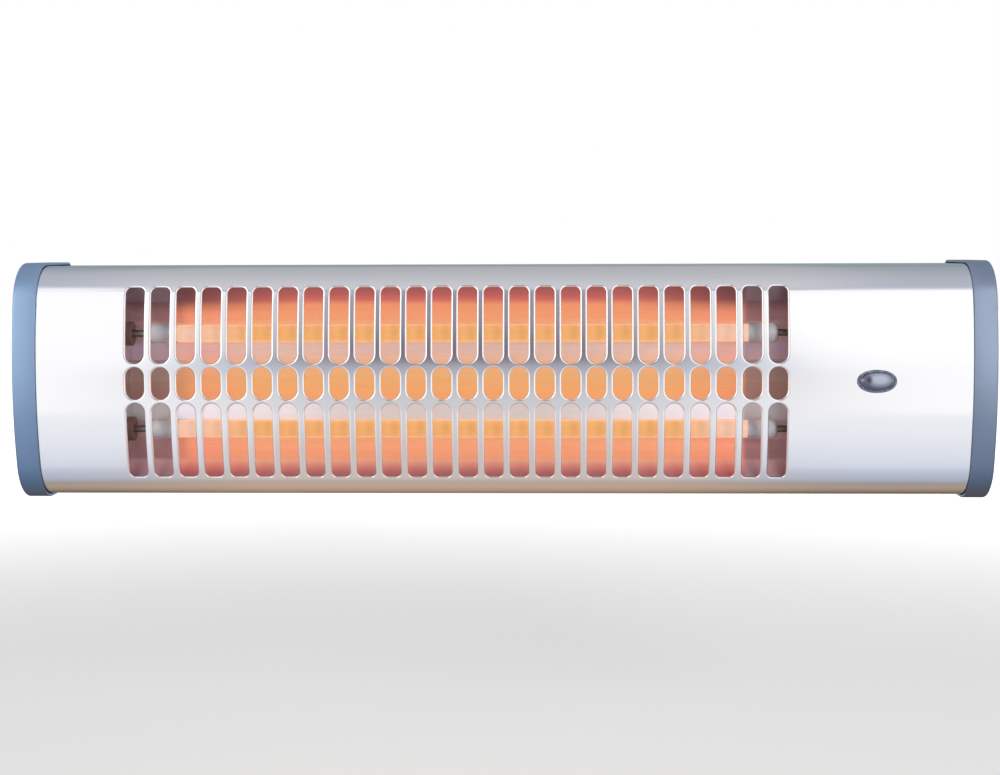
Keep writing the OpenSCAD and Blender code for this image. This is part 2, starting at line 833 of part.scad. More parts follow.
module insulating_bushes() {
    color("wheat")
        for (side = [-1, 1]) for (level = [-1, 1])
            at_tube_end(side, level)
                difference() {
                    union() {
                        translate([0, 0, plate_u - bush_flange_t])
                            cylinder(h = bush_flange_t, r = bush_flange_r);
                        translate([0, 0, plate_u - 1])
                            cylinder(h = bush_u - plate_u + 1, r = bush_flange_r - 2);
                    }
                    translate([0, 0, plate_u - bush_flange_t - 1])
                        cylinder(h = bush_flange_t + bush_u - plate_u + 2,
                            r = stud_d / 2 + 0.1);
                }
}

module terminal_studs() {
    color("dimgray")
        for (side = [-1, 1]) for (level = [-1, 1])
            at_tube_end(side, level)
                translate([0, 0, stud_from]) cylinder(h = stud_to - stud_from, d = stud_d);
}

module hex_nut(across, t, bore_d) {
    difference() {
        cylinder(h = t, d = across / cos(30), $fn = 6);
        translate([0, 0, -1]) cylinder(h = t + 2, d = bore_d);
    }
}

module terminal_nuts() {
    color("goldenrod")
        for (side = [-1, 1]) for (level = [-1, 1])
            at_tube_end(side, level) {
                rings = side < 0 && level < 0 ? 2 : 1;
                translate([0, 0, bush_u]) hex_nut(nut_across, nut_t, stud_d + 0.1);
                translate([0, 0, ring_u + rings * ring_t])
                    hex_nut(nut_across, nut_t, stud_d + 0.1);
            }
}

// A crimped ring terminal, flat in the XY plane with its barrel along +X
module ring_terminal(bore_d) {
    difference() {
        union() {
            cylinder(h = ring_t, r = ring_r);
            translate([ring_r - 1, -barrel_r, 0]) cube([2, 2 * barrel_r, ring_t]);
            translate([0, 0, barrel_r]) rod_along_x(ring_r, ring_r + barrel_len, barrel_r);
        }
        translate([0, 0, -1]) cylinder(h = ring_t + 2, d = bore_d);
    }
}

// Flat in the YZ plane; the barrel's middle lies over the ring's
module stud_ring(side, level, step, angle) {
    x = tube_mid + side * (ring_u + step * ring_t);
    translate([x, tube_y, level * stud_z])
        rotate([angle, 0, 0])
            difference() {
                union() {
                    rod_along_x(side > 0 ? 0 : -ring_t, side > 0 ? ring_t : 0, ring_r);
                    translate([side * ring_t / 2, 0, 0])
                        rod_along_y(ring_r - 0.5, ring_r + barrel_len, barrel_r);
                }
                rod_along_x(-2, 2, stud_d / 2 + 0.05);
            }
}

module ring_terminals() {
    color("goldenrod") {
        stud_ring(1, 1, 0, 0);
        stud_ring(1, -1, 0, 0);
        stud_ring(-1, 1, 0, 0);
        stud_ring(-1, -1, 0, 0);
        stud_ring(-1, -1, 1, -90);
    }
}

// ---------- pilot lamp ----------

lamp_rim = 1.2;
lamp_face = front_y + cap_proud;

module pilot_bezel() {
    color("slategray")
        difference() {
            union() {
                along_y(lamp_face - lamp_rim, lamp_face)
                    translate([lamp_x, lamp_z]) oval(lamp_w, lamp_h);
                along_y(lamp_face - eps, lamp_rear_y)
                    translate([lamp_x, lamp_z]) oval(lamp_w - 1.6, lamp_h - 1.6);
            }
            along_y(lamp_face - lamp_rim - 1, lamp_rear_y - 1.5)
                translate([lamp_x, lamp_z]) oval(lamp_w - 3.2, lamp_h - 3.2);
        }
}

// The lens crowns out of the bezel and stands on a foot ring inside it
module pilot_lens() {
    crown = 20;
    color("lightsteelblue", 0.7)
        difference() {
            intersection() {
                along_y(front_y - 3, front_y + 5)
                    translate([lamp_x, lamp_z]) oval(lamp_w - 3.4, lamp_h - 3.4);
                translate([lamp_x, front_y - 1.6 + crown, lamp_z]) sphere(r = crown, $fn = 96);
            }
            along_y(front_y + 1.5, front_y + 6)
                translate([lamp_x, lamp_z]) oval(lamp_w - 6.4, lamp_h - 6.4);
        }
}

module pilot_neon() {
    color("orange")
        translate([0, front_y + 8.4, lamp_z]) {
            translate([lamp_x, 0, 0]) rod_along_x(-5, 5, 2.1);
            translate([lamp_x - 5, 0, 0]) sphere(r = 2.1);
            translate([lamp_x + 5, 0, 0]) sphere(r = 2.1);
        }
}

module pilot_clip() {
    color("dimgray")
        along_y(front_y + shell_inset + 0.3, front_y + shell_inset + 2.3)
            translate([lamp_x, lamp_z])
                difference() {
                    oval(lamp_w + 3, lamp_h + 3);
                    oval(lamp_w - 1.5, lamp_h - 1.5);
                }
}

// ---------- switch, terminals and wiring ----------

module pull_switch_body() {
    color("ivory") {
        difference() {
            along_y(plate_y - switch_depth, plate_y)
                translate([switch_x, (switch_top + switch_bottom) / 2])
                    rounded_square(switch_w, switch_top - switch_bottom, 3);
            translate([switch_x, rod_y, switch_bottom - 1])
                cylinder(h = rod_top + 2 - switch_bottom, r = pull_rod_d / 2 + rod_slip);
            for (place = switch_screws)
                translate([place[0], 0, place[1]])
                    screw_bore(switch_screw_len);
        }
        for (x = tab_xs)
            spade_tab(x, tab_y);
        spade_tab(tab_xs[0], lamp_tab_y);
    }
}

// A flat spade terminal that stands on the switch
module spade_tab(x, y) {
    translate([x - 0.4, y - 2.4, switch_top - 1]) cube([0.8, 4.8, spade_h + 1]);
}

module rounded_square(w, h, r) {
    square([w - 2 * r, h], center = true);
    square([w, h - 2 * r], center = true);
    for (x = [-1, 1]) for (y = [-1, 1])
        translate([x * (w / 2 - r), y * (h / 2 - r)]) circle(r = r);
}

// The rod that works the switch, with a hole in its lower end for a pull cord
module pull_rod() {
    color("white")
        translate([switch_x, rod_y, rod_bottom])
            difference() {
                cylinder(h = rod_top - rod_bottom, d = pull_rod_d);
                translate([0, 0, -1]) cylinder(h = cord_hole_len + 1, r = cord_hole_r);
            }
}

module pull_cord_bush() {
    shell_bottom = cap_proud - half_h;
    color("white")
        translate([switch_x, rod_y, 0])
            difference() {
                union() {
                    translate([0, 0, shell_bottom - 1]) cylinder(h = 1, r = bush_r + 2.2);
                    translate([0, 0, shell_bottom - eps]) cylinder(h = 6, r = bush_r);
                }
                translate([0, 0, shell_bottom - 2])
                    cylinder(h = 10, r = pull_rod_d / 2 + 0.8);
            }
}

module terminal_block() {
    color("ivory")
        difference() {
            union() {
                for (pole = [-1 : 1])
                    translate([block_x + pole * block_pole - 3.4, plate_y - block_depth, block_low])
                        cube([6.8, block_depth, block_h]);
                translate([block_x - block_pole, plate_y - 6, block_low + 4])
                    cube([2 * block_pole, 6, block_h - 8]);
            }
            for (pole = [-1 : 1]) for (side = [-1, 1])
                translate([block_x + pole * block_pole, plate_y - block_depth - 1,
                    block_z + side * 4.5])
                    rotate([-90, 0, 0]) cylinder(h = 4, r = 1.9);
            translate([block_screw[0], 0, block_screw[1]])
                screw_bore(block_screw_len);
        }
}

module terminal_block_screws() {
    color("goldenrod")
        for (pole = [-1 : 1]) for (side = [-1, 1])
            translate([block_x + pole * block_pole, 0, block_z + side * 4.5])
                difference() {
                    rod_along_y(plate_y - block_depth + 1, plate_y - block_depth + 3, 1.8);
                    translate([-3, plate_y - block_depth + 0.5, -0.3]) cube([6, 1.2, 0.6]);
                }
}

module component_screws() {
    color("silver") {
        for (place = switch_screws)
            translate([place[0], back_y, place[1]]) pan_screw(switch_screw_len);
        translate([block_screw[0], back_y, block_screw[1]]) pan_screw(block_screw_len);
    }
}

// A bimetal cut-out: flange, round body and two tabs
module thermal_cutout() {
    x = right_plate_x + end_plate_t;
    color("gray")
        translate([x, cutout_y, 0])
            difference() {
                union() {
                    rod_along_x(0, cutout_len, cutout_r);
                    translate([0, -3.5, -cutout_r - 7.5]) cube([0.8, 7, 2 * cutout_r + 15]);
                    for (level = [-1, 1])
                        translate([cutout_len - 1, -2.4, level * cutout_tab_z - 0.4])
                            cube([7, 4.8, 0.8]);
                }
                for (level = [-1, 1])
                    translate([0, 0, level * (cutout_r + 4)])
                        rod_along_x(-1, 2, screw_d / 2 + screw_slip);
            }
}

module cutout_screws() {
    color("silver")
        for (level = [-1, 1])
            translate([right_plate_x + end_plate_t + 0.8, cutout_y, level * (cutout_r + 4)])
                rotate([0, 0, -90]) pan_screw(cutout_screw_len, head_d = 5.6);
}

// The bush of the mains cable inlet, in the back plate
module cable_grommet() {
    color("dimgray")
        translate([inlet_x, 0, inlet_z])
            difference() {
                union() {
                    rod_along_y(back_y, back_y + 3, inlet_r + 2.5);
                    rod_along_y(plate_y - 2, back_y + 1, inlet_r);
                    rod_along_y(plate_y - 4, plate_y, inlet_r + 1.5);
                }
                rod_along_y(plate_y - 5, back_y + 4, cable_bore / 2);
            }
}

module wire_grommets() {
    color("dimgray")
        for (side = [-1, 1])
            translate([tube_mid + side * (plate_u + end_plate_t / 2),
                front_y + wire_hole_depth, wire_hole_z])
                difference() {
                    union() {
                        rod_along_x(-end_plate_t / 2, end_plate_t / 2, wire_hole_r);
                        rod_along_x(-end_plate_t / 2 - 2, -end_plate_t / 2, wire_hole_r + 1.6);
                        rod_along_x(end_plate_t / 2, end_plate_t / 2 + 2, wire_hole_r + 1.6);
                    }
                    rod_along_x(-5, 5, lead_d / 2 + 0.3);
                }
}

// The earth terminal's ring lies on the back plate, under the head of its screw
module earth_terminal() {
    color("goldenrod")
        translate([earth_x, plate_y, earth_z]) {
            rotate([90, 0, 0]) ring_terminal(screw_d - 1);
            difference() {
                union() {
                    rod_along_y(-ring_t - 2, -ring_t + eps, 3.2);
                    rod_along_y(-ring_t, plate_t + 2, screw_d / 2);
                }
                translate([-4, -ring_t - 3, -0.4]) cube([8, 1.8, 0.8]);
            }
            rod_along_y(plate_t, plate_t + 2.4, 3.2);
        }
}

module left_link_lead() {
    color("white") lead(left_link_route, lead_d);
}

module neutral_lead() {
    color("royalblue") lead(neutral_route, lead_d);
}

module upper_live_lead() {
    color("white") lead(upper_live_route, lead_d);
}

module lower_live_lead() {
    color("white") lead(lower_live_route, lead_d);
}

module cutout_lead() {
    color("saddlebrown") lead(cutout_route, lead_d);
}

module supply_lead() {
    color("saddlebrown") lead(supply_route, lead_d);
}

module lamp_leads() {
    color("white") {
        lead(lamp_live_route, lead_d - 0.8);
        lead(lamp_neutral_route, lead_d - 0.8);
    }
}

module earth_lead() {
    color("yellowgreen") lead(earth_route, lead_d);
}

// ---------- wall bracket and pivot ----------

// An ear's outline, [y, z]: a strip from a bend to a round about the pivot
module ear_outline(r, from_y) {
    translate([-pivot_out, -r]) square([pivot_out + from_y, 2 * r]);
    translate([-pivot_out, 0]) circle(r = r);
}

// A right-angled bend in a sheet, upright: its legs lead away along -X and -Y
module bend(h, t, inner = bend_in) {
    r = inner + t;
    translate([-r, -r, 0])
        intersection() {
            difference() {
                cylinder(h = h, r = r, center = true);
                cylinder(h = h + 1, r = inner, center = true);
            }
            translate([0, 0, -h / 2]) cube([r + 1, r + 1, h]);
        }
}

module wall_bracket() {
    strip_half = ear_out_x - bend_in - bracket_t;
    color("silver")
        difference() {
            union() {
                translate([-strip_half, -bracket_t, -strip_h / 2])
                    cube([2 * strip_half, bracket_t, strip_h]);
                for (side = [-1, 1])
                    translate([side * (ear_out_x - bracket_t / 2) - bracket_t / 2, 0, 0])
                        rotate([90, 0, 90])
                            linear_extrude(bracket_t) ear_outline(ear_r, -bend_in - bracket_t);
                translate([ear_out_x, 0, 0]) bend(2 * ear_r, bracket_t);
                mirror([1, 0, 0]) translate([ear_out_x, 0, 0]) bend(2 * ear_r, bracket_t);
            }
            for (side = [-1, 1]) {
                translate([side * screw_span / 2, 0, 0])
                    rod_along_y(-bracket_t - 1, 1, wall_hole_d / 2);
                translate([side * (ear_out_x - bracket_t / 2), -pivot_out, 0])
                    rod_along_x(-bracket_t, bracket_t, pivot_d / 2);
            }
        }
}

// A lug on the back plate, drawn on the right: a foot and an ear about the pivot
module pivot_lug() {
    bend_r = bend_in / 2 + lug_t;
    color("silver")
        difference() {
            union() {
                translate([lug_x + bend_r, back_y, -lug_half])
                    cube([lug_foot - bend_r, lug_t, 2 * lug_half]);
                translate([lug_x, -pivot_out, 0]) rod_along_x(0, lug_t, lug_r);
                translate([lug_x, back_y + bend_r, -lug_r])
                    cube([lug_t, wall_gap - pivot_out - bend_r, 2 * lug_r]);
                translate([lug_x, back_y, 0])
                    rotate(180) bend(2 * lug_r, lug_t, bend_in / 2);
            }
            translate([lug_x, -pivot_out, 0])
                rod_along_x(-1, lug_t + 1, pivot_d / 2 + pivot_fit);
            for (level = [-1, 1])
                translate([lug_screw_x(), 0, level * lug_screw_z()])
                    rod_along_y(back_y - 1, back_y + lug_t + 1, screw_d / 2 + screw_slip);
        }
}

module right_pivot_lug() {
    pivot_lug();
}

module left_pivot_lug() {
    mirror([1, 0, 0]) pivot_lug();
}

module lug_screws() {
    color("silver")
        for (side = [-1, 1]) for (level = [-1, 1])
            translate([side * lug_screw_x(), back_y + lug_t, level * lug_screw_z()])
                pan_screw(lug_screw_len);
}

// Mirrors what is drawn for the right-hand pivot to the left-hand one as well
module both_pivots() {
    translate([0, -pivot_out, 0]) children();
    mirror([1, 0, 0]) translate([0, -pivot_out, 0]) children();
}

// Hexagonal bolts, held in the bracket's ears with their heads inside
module pivot_bolts() {
    head_t = pivot_d * 0.7;
    bolt_end = washer_x + washer_t + pivot_nut_t + 2;
    color("silver")
        both_pivots() {
            translate([ear_out_x - bracket_t - head_t, 0, 0])
                rotate([0, 90, 0]) cylinder(h = head_t, d = pivot_across / cos(30), $fn = 6);
            rod_along_x(ear_out_x - bracket_t - eps, bolt_end, pivot_d / 2);
        }
}

module pivot_washers() {
    color("silver")
        both_pivots()
            difference() {
                rod_along_x(washer_x, washer_x + washer_t, pivot_d);
                rod_along_x(washer_x - 1, washer_x + washer_t + 1, pivot_d / 2 + 0.05);
            }
}

module pivot_nuts() {
    color("silver")
        both_pivots()
            translate([washer_x + washer_t, 0, 0])
                rotate([0, 90, 0]) hex_nut(pivot_across, pivot_nut_t, pivot_d + 0.1);
}

front_shell();
left_end_cap();
right_end_cap();
back_plate();
back_plate_screws();
end_cap_screws();
reflector();
left_end_plate();
right_end_plate();
end_plate_screws();
reflector_screws();
quartz_tube(1);  // upper_quartz_tube
quartz_tube(-1);  // lower_quartz_tube
heating_coil(1);  // upper_heating_coil
heating_coil(-1);  // lower_heating_coil
ceramic_cap(-1, 1);  // upper_left_ceramic
ceramic_cap(1, 1);  // upper_right_ceramic
ceramic_cap(-1, -1);  // lower_left_ceramic
ceramic_cap(1, -1);  // lower_right_ceramic
insulating_bushes();
terminal_studs();
terminal_nuts();
ring_terminals();
pilot_bezel();
pilot_lens();
pilot_neon();
pilot_clip();
pull_switch_body();
pull_rod();
pull_cord_bush();
terminal_block();
terminal_block_screws();
component_screws();
thermal_cutout();
cutout_screws();
cable_grommet();
wire_grommets();
earth_terminal();
left_link_lead();
neutral_lead();
upper_live_lead();
lower_live_lead();
cutout_lead();
supply_lead();
lamp_leads();
earth_lead();
wall_bracket();
left_pivot_lug();
right_pivot_lug();
lug_screws();
pivot_bolts();
pivot_washers();
pivot_nuts();
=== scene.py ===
# %% [markdown]
# # A wall-hung electric bar heater
# The object is a long steel box with a bowed, polished front. Three rows of slots are pressed
# through the front, and two quartz bars glow behind them in front of a folded reflector. Two
# moulded caps close the ends, and a bracket behind carries the box on two pivots.
#
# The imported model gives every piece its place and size. This notebook gives the pieces their
# looks: some get a finer mesh, and all get a material made from nodes.

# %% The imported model
import json
import math

import bmesh
import bpy
import numpy as np
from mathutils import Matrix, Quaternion, Vector
from mathutils.geometry import delaunay_2d_cdt

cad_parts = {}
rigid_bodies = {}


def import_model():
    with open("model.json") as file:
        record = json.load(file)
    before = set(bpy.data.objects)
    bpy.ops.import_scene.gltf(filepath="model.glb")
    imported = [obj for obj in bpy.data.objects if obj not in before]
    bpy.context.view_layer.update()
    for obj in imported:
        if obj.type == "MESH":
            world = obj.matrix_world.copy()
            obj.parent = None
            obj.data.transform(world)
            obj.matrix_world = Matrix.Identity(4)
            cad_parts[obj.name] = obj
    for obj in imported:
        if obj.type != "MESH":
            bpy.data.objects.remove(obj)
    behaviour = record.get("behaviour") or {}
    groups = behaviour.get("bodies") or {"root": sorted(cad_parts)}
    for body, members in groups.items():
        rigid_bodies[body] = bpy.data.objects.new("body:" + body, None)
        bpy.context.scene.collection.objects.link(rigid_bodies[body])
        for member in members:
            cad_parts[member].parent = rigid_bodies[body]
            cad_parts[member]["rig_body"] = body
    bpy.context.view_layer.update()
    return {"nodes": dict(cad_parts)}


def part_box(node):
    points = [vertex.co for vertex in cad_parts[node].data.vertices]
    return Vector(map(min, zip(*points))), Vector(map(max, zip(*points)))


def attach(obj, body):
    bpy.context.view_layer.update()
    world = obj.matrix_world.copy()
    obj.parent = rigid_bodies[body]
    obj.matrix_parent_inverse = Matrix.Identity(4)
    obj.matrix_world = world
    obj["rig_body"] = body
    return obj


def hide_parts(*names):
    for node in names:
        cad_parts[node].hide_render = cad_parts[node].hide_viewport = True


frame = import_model()
mm = 0.001

# %% [markdown]
# ## The camera
# The camera was fitted to the photograph by numbers. The slot pitch and the two ends of the
# box give the distance and the focal length, and the far side of the caps gives the small
# angles: it looks a few degrees down and from slightly to the right.

# %% The camera
aim = Vector((-0.35, -114, -2.14)) * mm
camera_distance = 950 * mm
azimuth, elevation, roll = (math.radians(v) for v in (1.828, 4.664, -0.183))
lens_length, sensor_width = 61.14, 36


def linked(name, data):
    """A new object of the scene."""
    made = bpy.data.objects.new(name, data)
    bpy.context.scene.collection.objects.link(made)
    return made


def look_along(made, place, direction, turn=0.0):
    """Puts a camera or a lamp at a place, looking in a direction."""
    made.location = place
    made.rotation_mode = "QUATERNION"
    made.rotation_quaternion = direction.to_track_quat("-Z", "Y") @ Quaternion((0, 0, 1), turn)


toward_camera = Vector((math.sin(azimuth) * math.cos(elevation),
                        -math.cos(azimuth) * math.cos(elevation), math.sin(elevation)))
camera = linked("camera", bpy.data.cameras.new("camera"))
camera.data.lens, camera.data.sensor_width = lens_length, sensor_width
look_along(camera, aim + toward_camera * camera_distance, -toward_camera, roll)
bpy.context.scene.camera = camera
bpy.context.scene.view_settings.view_transform = "Standard"
print("camera at", [round(v, 3) for v in camera.location])

# %% [markdown]
# ## Small tools for node materials
# Each material is a Principled BSDF with a few nodes in front of it. A small class wires them:
# each of its methods adds one kind of node and hands back the socket that carries its result.
# A value given to a method is either such a socket or a constant. Colours are written as a
# screen shows them, or as linear numbers.

# %% Colours and nodes
white = (1.0, 1.0, 1.0)
finishes = {}


def seen(*colour):
    """A colour as a screen shows it, 0 to 255, as linear red, green and blue."""
    return tuple(c / 255 / 12.92 if c / 255 <= 0.04045 else ((c / 255 + 0.055) / 1.055) ** 2.4
                 for c in colour)


class Nodes:
    """A node tree, with a short way to add the nodes that the cells below need."""

    def __init__(self, tree):
        self.tree, self.nodes = tree, tree.nodes

    def feed(self, socket, value):
        """Wires a socket to another one, or sets its constant."""
        if isinstance(value, bpy.types.NodeSocket):
            self.tree.links.new(value, socket)
        else:
            socket.default_value = (*value, 1.0) if socket.type == "RGBA" else value

    def add(self, kind, **settings):
        """A node of that kind. Settings name its properties, or its input sockets."""
        node = self.nodes.new("ShaderNode" + kind)
        for name, value in settings.items():
            if hasattr(node, name):
                setattr(node, name, value)
            else:
                self.feed(node.inputs[name.replace("_", " ")], value)
        return node

    def place(self):
        """The place on the model, in metres."""
        return self.add("TexCoord").outputs["Object"]

    def apart(self):
        """The same place as its outputs X, Y and Z."""
        return self.add("SeparateXYZ", Vector=self.place()).outputs

    def number(self, operation, *values, kind="Math", result="Value"):
        """The number that an operation on the values gives."""
        node = self.add(kind, operation=operation)
        for socket, value in zip(node.inputs, values):
            self.feed(socket, value)
        return node.outputs[result]

    def vector(self, operation, *values):
        """The vector, or colour, that an operation on the values gives."""
        return self.number(operation, *values, kind="VectorMath", result="Vector")

    def spread(self, value, low, high, to_low=0.0, to_high=1.0, smooth=False):
        """The value carried from the span low to high over to the span to_low to to_high."""
        easing = "SMOOTHSTEP" if smooth else "LINEAR"
        return self.add("MapRange", interpolation_type=easing, Value=value, From_Min=low,
                        From_Max=high, To_Min=to_low, To_Max=to_high).outputs["Result"]

    def mixed(self, share, first, second):
        """The colour at a share of the way from first to second."""
        node = self.add("Mix", data_type="RGBA", Factor=share)
        self.feed(node.inputs[6], first)
        self.feed(node.inputs[7], second)
        return node.outputs[2]

    def ramp(self, value, stops, unit=1.0, tone=seen):
        """Colours along a value. A stop is its place and the numbers that tone takes."""
        start, stop = stops[0][0], stops[-1][0]
        node = self.add("ValToRGB", Fac=self.spread(value, start * unit, stop * unit))
        elements = node.color_ramp.elements
        while len(elements) < len(stops):
            elements.new(1.0)
        for element, (place, *colour) in zip(elements, stops):
            element.position = (place - start) / (stop - start)
            element.color = (*tone(*colour), 1.0)
        return node.outputs["Color"]

    def noise(self, place, **settings):
        """Noise over a place that is counted in steps of the noise."""
        return self.add("TexNoise", Vector=place, **{"Scale": 1.0, **settings}).outputs["Fac"]

    def effect(self, group, **inputs):
        """The outputs of a shared effect, placed in this tree with its own values."""
        return self.add("Group", node_tree=group, **inputs).outputs


class Finish(Nodes):
    """A material under construction, kept in finishes under its name."""

    def __init__(self, name, base, roughness, metallic=0.0, **sockets):
        self.material = finishes[name] = bpy.data.materials.new(name)
        self.material.use_nodes = True
        super().__init__(self.material.node_tree)
        self.shader = self.nodes["Principled BSDF"]
        sockets.update(Base_Color=base, Roughness=roughness, Metallic=metallic)
        for socket, value in sockets.items():
            self.drive(socket.replace("_", " "), value)

    def drive(self, socket, value):
        """Feeds one of the shader's own sockets."""
        self.feed(self.shader.inputs[socket], value)

    def tone(self):
        """What drives Base Color so far."""
        return self.shader.inputs["Base Color"].links[0].from_socket

    def rough(self, mask, low, high):
        """Roughness that follows a mask from low to high."""
        self.drive("Roughness", self.spread(mask, 0.0, 1.0, low, high))

    def bump(self, height, depth):
        """Surface relief: depth is its real height in metres."""
        self.drive("Normal", self.add("Bump", Height=height, Strength=1.0,
                                      Distance=depth).outputs["Normal"])


print("a mid grey is", [round(v, 3) for v in seen(128, 128, 128)])

# %% [markdown]
# ## Shared effects
# Metal and plastic share the same few kinds of unevenness. Each is a node group, built once
# and placed in many materials with other values: drawn-out grain from rolling and polishing,
# soft patches, the fine skin of a mould, and edges rubbed bright. All of them read object
# coordinates, which are real metres here, so a pattern stays on its piece from every side.

# %% The node groups
class Effect(Nodes):
    """A node group under construction, with its inputs' names and defaults."""

    def __init__(self, name, **inputs):
        super().__init__(bpy.data.node_groups.new(name, "ShaderNodeTree"))
        for label, default in inputs.items():
            colour = isinstance(default, tuple)
            socket = self.socket(label, "INPUT", colour)
            socket.default_value = (*default, 1.0) if colour else default
        self.given = self.nodes.new("NodeGroupInput").outputs

    def socket(self, label, side, colour):
        """A new input or output of the group."""
        kind = "NodeSocketColor" if colour else "NodeSocketFloat"
        return self.tree.interface.new_socket(label, in_out=side, socket_type=kind)

    def finish(self, **results):
        """Wires the results to outputs of the same names and gives the group."""
        for label in results:
            self.socket(label, "OUTPUT", label == "Color")
        end = self.nodes.new("NodeGroupOutput")
        for label, result in results.items():
            self.feed(end.inputs[label], result)
        return self.tree


def drawn_grain():
    """Noise drawn out along X, in metres: Length along the grain and Width across it."""
    made = Effect("drawn grain", Length=0.02, Width=0.0002)
    width = made.given["Width"]
    size = made.add("CombineXYZ", X=made.given["Length"], Y=width, Z=width).outputs["Vector"]
    scaled = made.vector("DIVIDE", made.place(), size)
    return made.finish(Grain=made.noise(scaled, Detail=3.0, Roughness=0.6))


def soft_patches():
    """Cloudy patches of a Size in metres, as a Mask and as a blend of two colours."""
    made = Effect("soft patches", Size=0.03, First=white, Second=(0.5, 0.5, 0.5))
    scaled = made.vector("DIVIDE", made.place(), made.given["Size"])
    mask = made.spread(made.noise(scaled, Detail=4.0, Roughness=0.55), 0.3, 0.7)
    colour = made.mixed(mask, made.given["First"], made.given["Second"])
    return made.finish(Color=colour, Mask=mask)


def moulded_skin():
    """The fine pebbled skin that a mould leaves, with a Pebble size in metres."""
    made = Effect("moulded skin", Pebble=0.0006)
    scaled = made.vector("DIVIDE", made.place(), made.given["Pebble"])
    cells = made.add("TexVoronoi", feature="SMOOTH_F1", Vector=scaled, Scale=1.0)
    coarse = made.noise(scaled, Scale=0.4, Detail=2.0)
    return made.finish(Height=made.number("ADD", cells.outputs["Distance"], coarse))


def rubbed_edges():
    """A mask of the convex edges, broken up by noise, which handling rubs bright."""
    made = Effect("rubbed edges", Amount=0.5, Size=0.004)
    sharpness = made.add("NewGeometry").outputs["Pointiness"]
    scaled = made.vector("DIVIDE", made.place(), made.given["Size"])
    broken = made.number("MULTIPLY", made.spread(sharpness, 0.52, 0.62),
                         made.noise(scaled, Detail=3.0))
    share = made.number("MULTIPLY", broken, made.given["Amount"])
    share.node.use_clamp = True
    return made.finish(Mask=share)


grain, patches, skin, edges = drawn_grain(), soft_patches(), moulded_skin(), rubbed_edges()
print("effects:", [g.name for g in (grain, patches, skin, edges)])

# %% [markdown]
# ## The floor and the background
# The studio is plain: a pale floor and a white surround. The background is white to the camera
# and in reflections by itself, and the light that it gives is set apart from that, so nothing
# has to be overlit. The floor shows its upper side only, so the heater can be looked at from
# below, and it sends no light back to the object.

# %% The world and the floor
def studio_world(day_level):
    """White to the camera and in reflections, and a softer level as light."""
    world = bpy.data.worlds.new("studio")
    bpy.context.scene.world = world
    world.use_nodes = True
    made = Nodes(world.node_tree)
    rays = made.add("LightPath").outputs
    looked_at = made.number("MAXIMUM", rays["Is Camera Ray"], rays["Is Glossy Ray"])
    looked_at = made.number("MAXIMUM", looked_at, rays["Is Transmission Ray"])
    sky = made.nodes["Background"].inputs
    made.feed(sky["Color"], white)
    made.feed(sky["Strength"], made.spread(looked_at, 0.0, 1.0, day_level))


def stage_sheet(name, low, high):
    """A level or an upright rectangle of the stage, between two corners."""
    (x0, y0, z0), (x1, y1, z1) = low, high
    mesh = bpy.data.meshes.new(name)
    corners = [(x0, y0, z0), (x1, y0, z0), (x1, y1, z1), (x0, y1, z1)]
    mesh.from_pydata(corners, [], [(0, 1, 2, 3)])
    sheet = linked(name, mesh)
    return sheet


def pale_floor():
    """White towards the camera far out, and shaded a little under the heater."""
    made = Finish("pale floor", (0.88, 0.88, 0.88), 0.9, Emission_Color=white)
    speckle = made.effect(patches, Size=0.5, First=(0.87, 0.87, 0.87), Second=(0.89, 0.89, 0.89))
    made.drive("Base Color", speckle["Color"])
    rays = made.add("LightPath").outputs
    from_middle = made.number("LENGTH", made.place(), kind="VectorMath")
    fade = made.spread(from_middle, 0.5, 2.0, 0.3, 1.0, smooth=True)
    made.drive("Emission Strength", made.number("MULTIPLY", rays["Is Camera Ray"], fade))
    sided = made.add("MixShader", Fac=made.add("NewGeometry").outputs["Backfacing"])
    made.feed(sided.inputs[1], made.shader.outputs["BSDF"])
    made.feed(sided.inputs[2], made.add("BsdfTransparent").outputs["BSDF"])
    made.feed(made.nodes["Material Output"].inputs["Surface"], sided.outputs["Shader"])
    return made.material


floor_z, floor_reach = -0.26, 8.0
studio_world(day_level=0.26)
floor = stage_sheet("floor", (-floor_reach, -floor_reach, floor_z),
                    (floor_reach, floor_reach, floor_z))
floor.data.materials.append(pale_floor())
floor.visible_glossy = floor.visible_diffuse = False
print("floor", floor_z / mm, "mm below the bracket's middle")

# %% [markdown]
# ## The lamps
# One soft lamp stands in front at each side, and one behind and above draws the upper edges.
# They and the world's level are set so that a colour on the object renders about as it is
# written.

# %% The lamps
for lamp_name, lamp_place, lamp_size, watts in (
        ("key_lamp", (0.90, -1.85, 0.70), 0.6, 11),
        ("fill_lamp", (-1.25, -1.65, 0.60), 1.2, 9),
        ("rear_lamp", (0.4, 1.7, 1.1), 1.2, 8)):
    lamp = linked(lamp_name, bpy.data.lights.new(lamp_name, "AREA"))
    lamp.data.size, lamp.data.energy = lamp_size, watts
    look_along(lamp, lamp_place, aim - Vector(lamp_place))

# %% [markdown]
# ## What the polished steel mirrors
# Polished steel has hardly a colour of its own: it shows the room, so a photographer places
# boards round it. A grey one overhead gives the soft band along the upper bend. The one under
# the heater runs from white through blue-grey to a warm tone. A dark figure at the camera
# leaves its shade in the middle of the front. The middle shows other tones than the ends, so
# a board blends two ramps along X. Boards are stage sheets that only glossy rays can see, so
# they change no light and show in no picture.

# %% Boards round the heater
def faded(made, x, middle, inner, outer):
    """0 near the middle, rising softly to 1 between the distances inner and outer."""
    away = made.number("ABSOLUTE", made.number("SUBTRACT", x, middle))
    return made.spread(away, inner, outer, smooth=True)


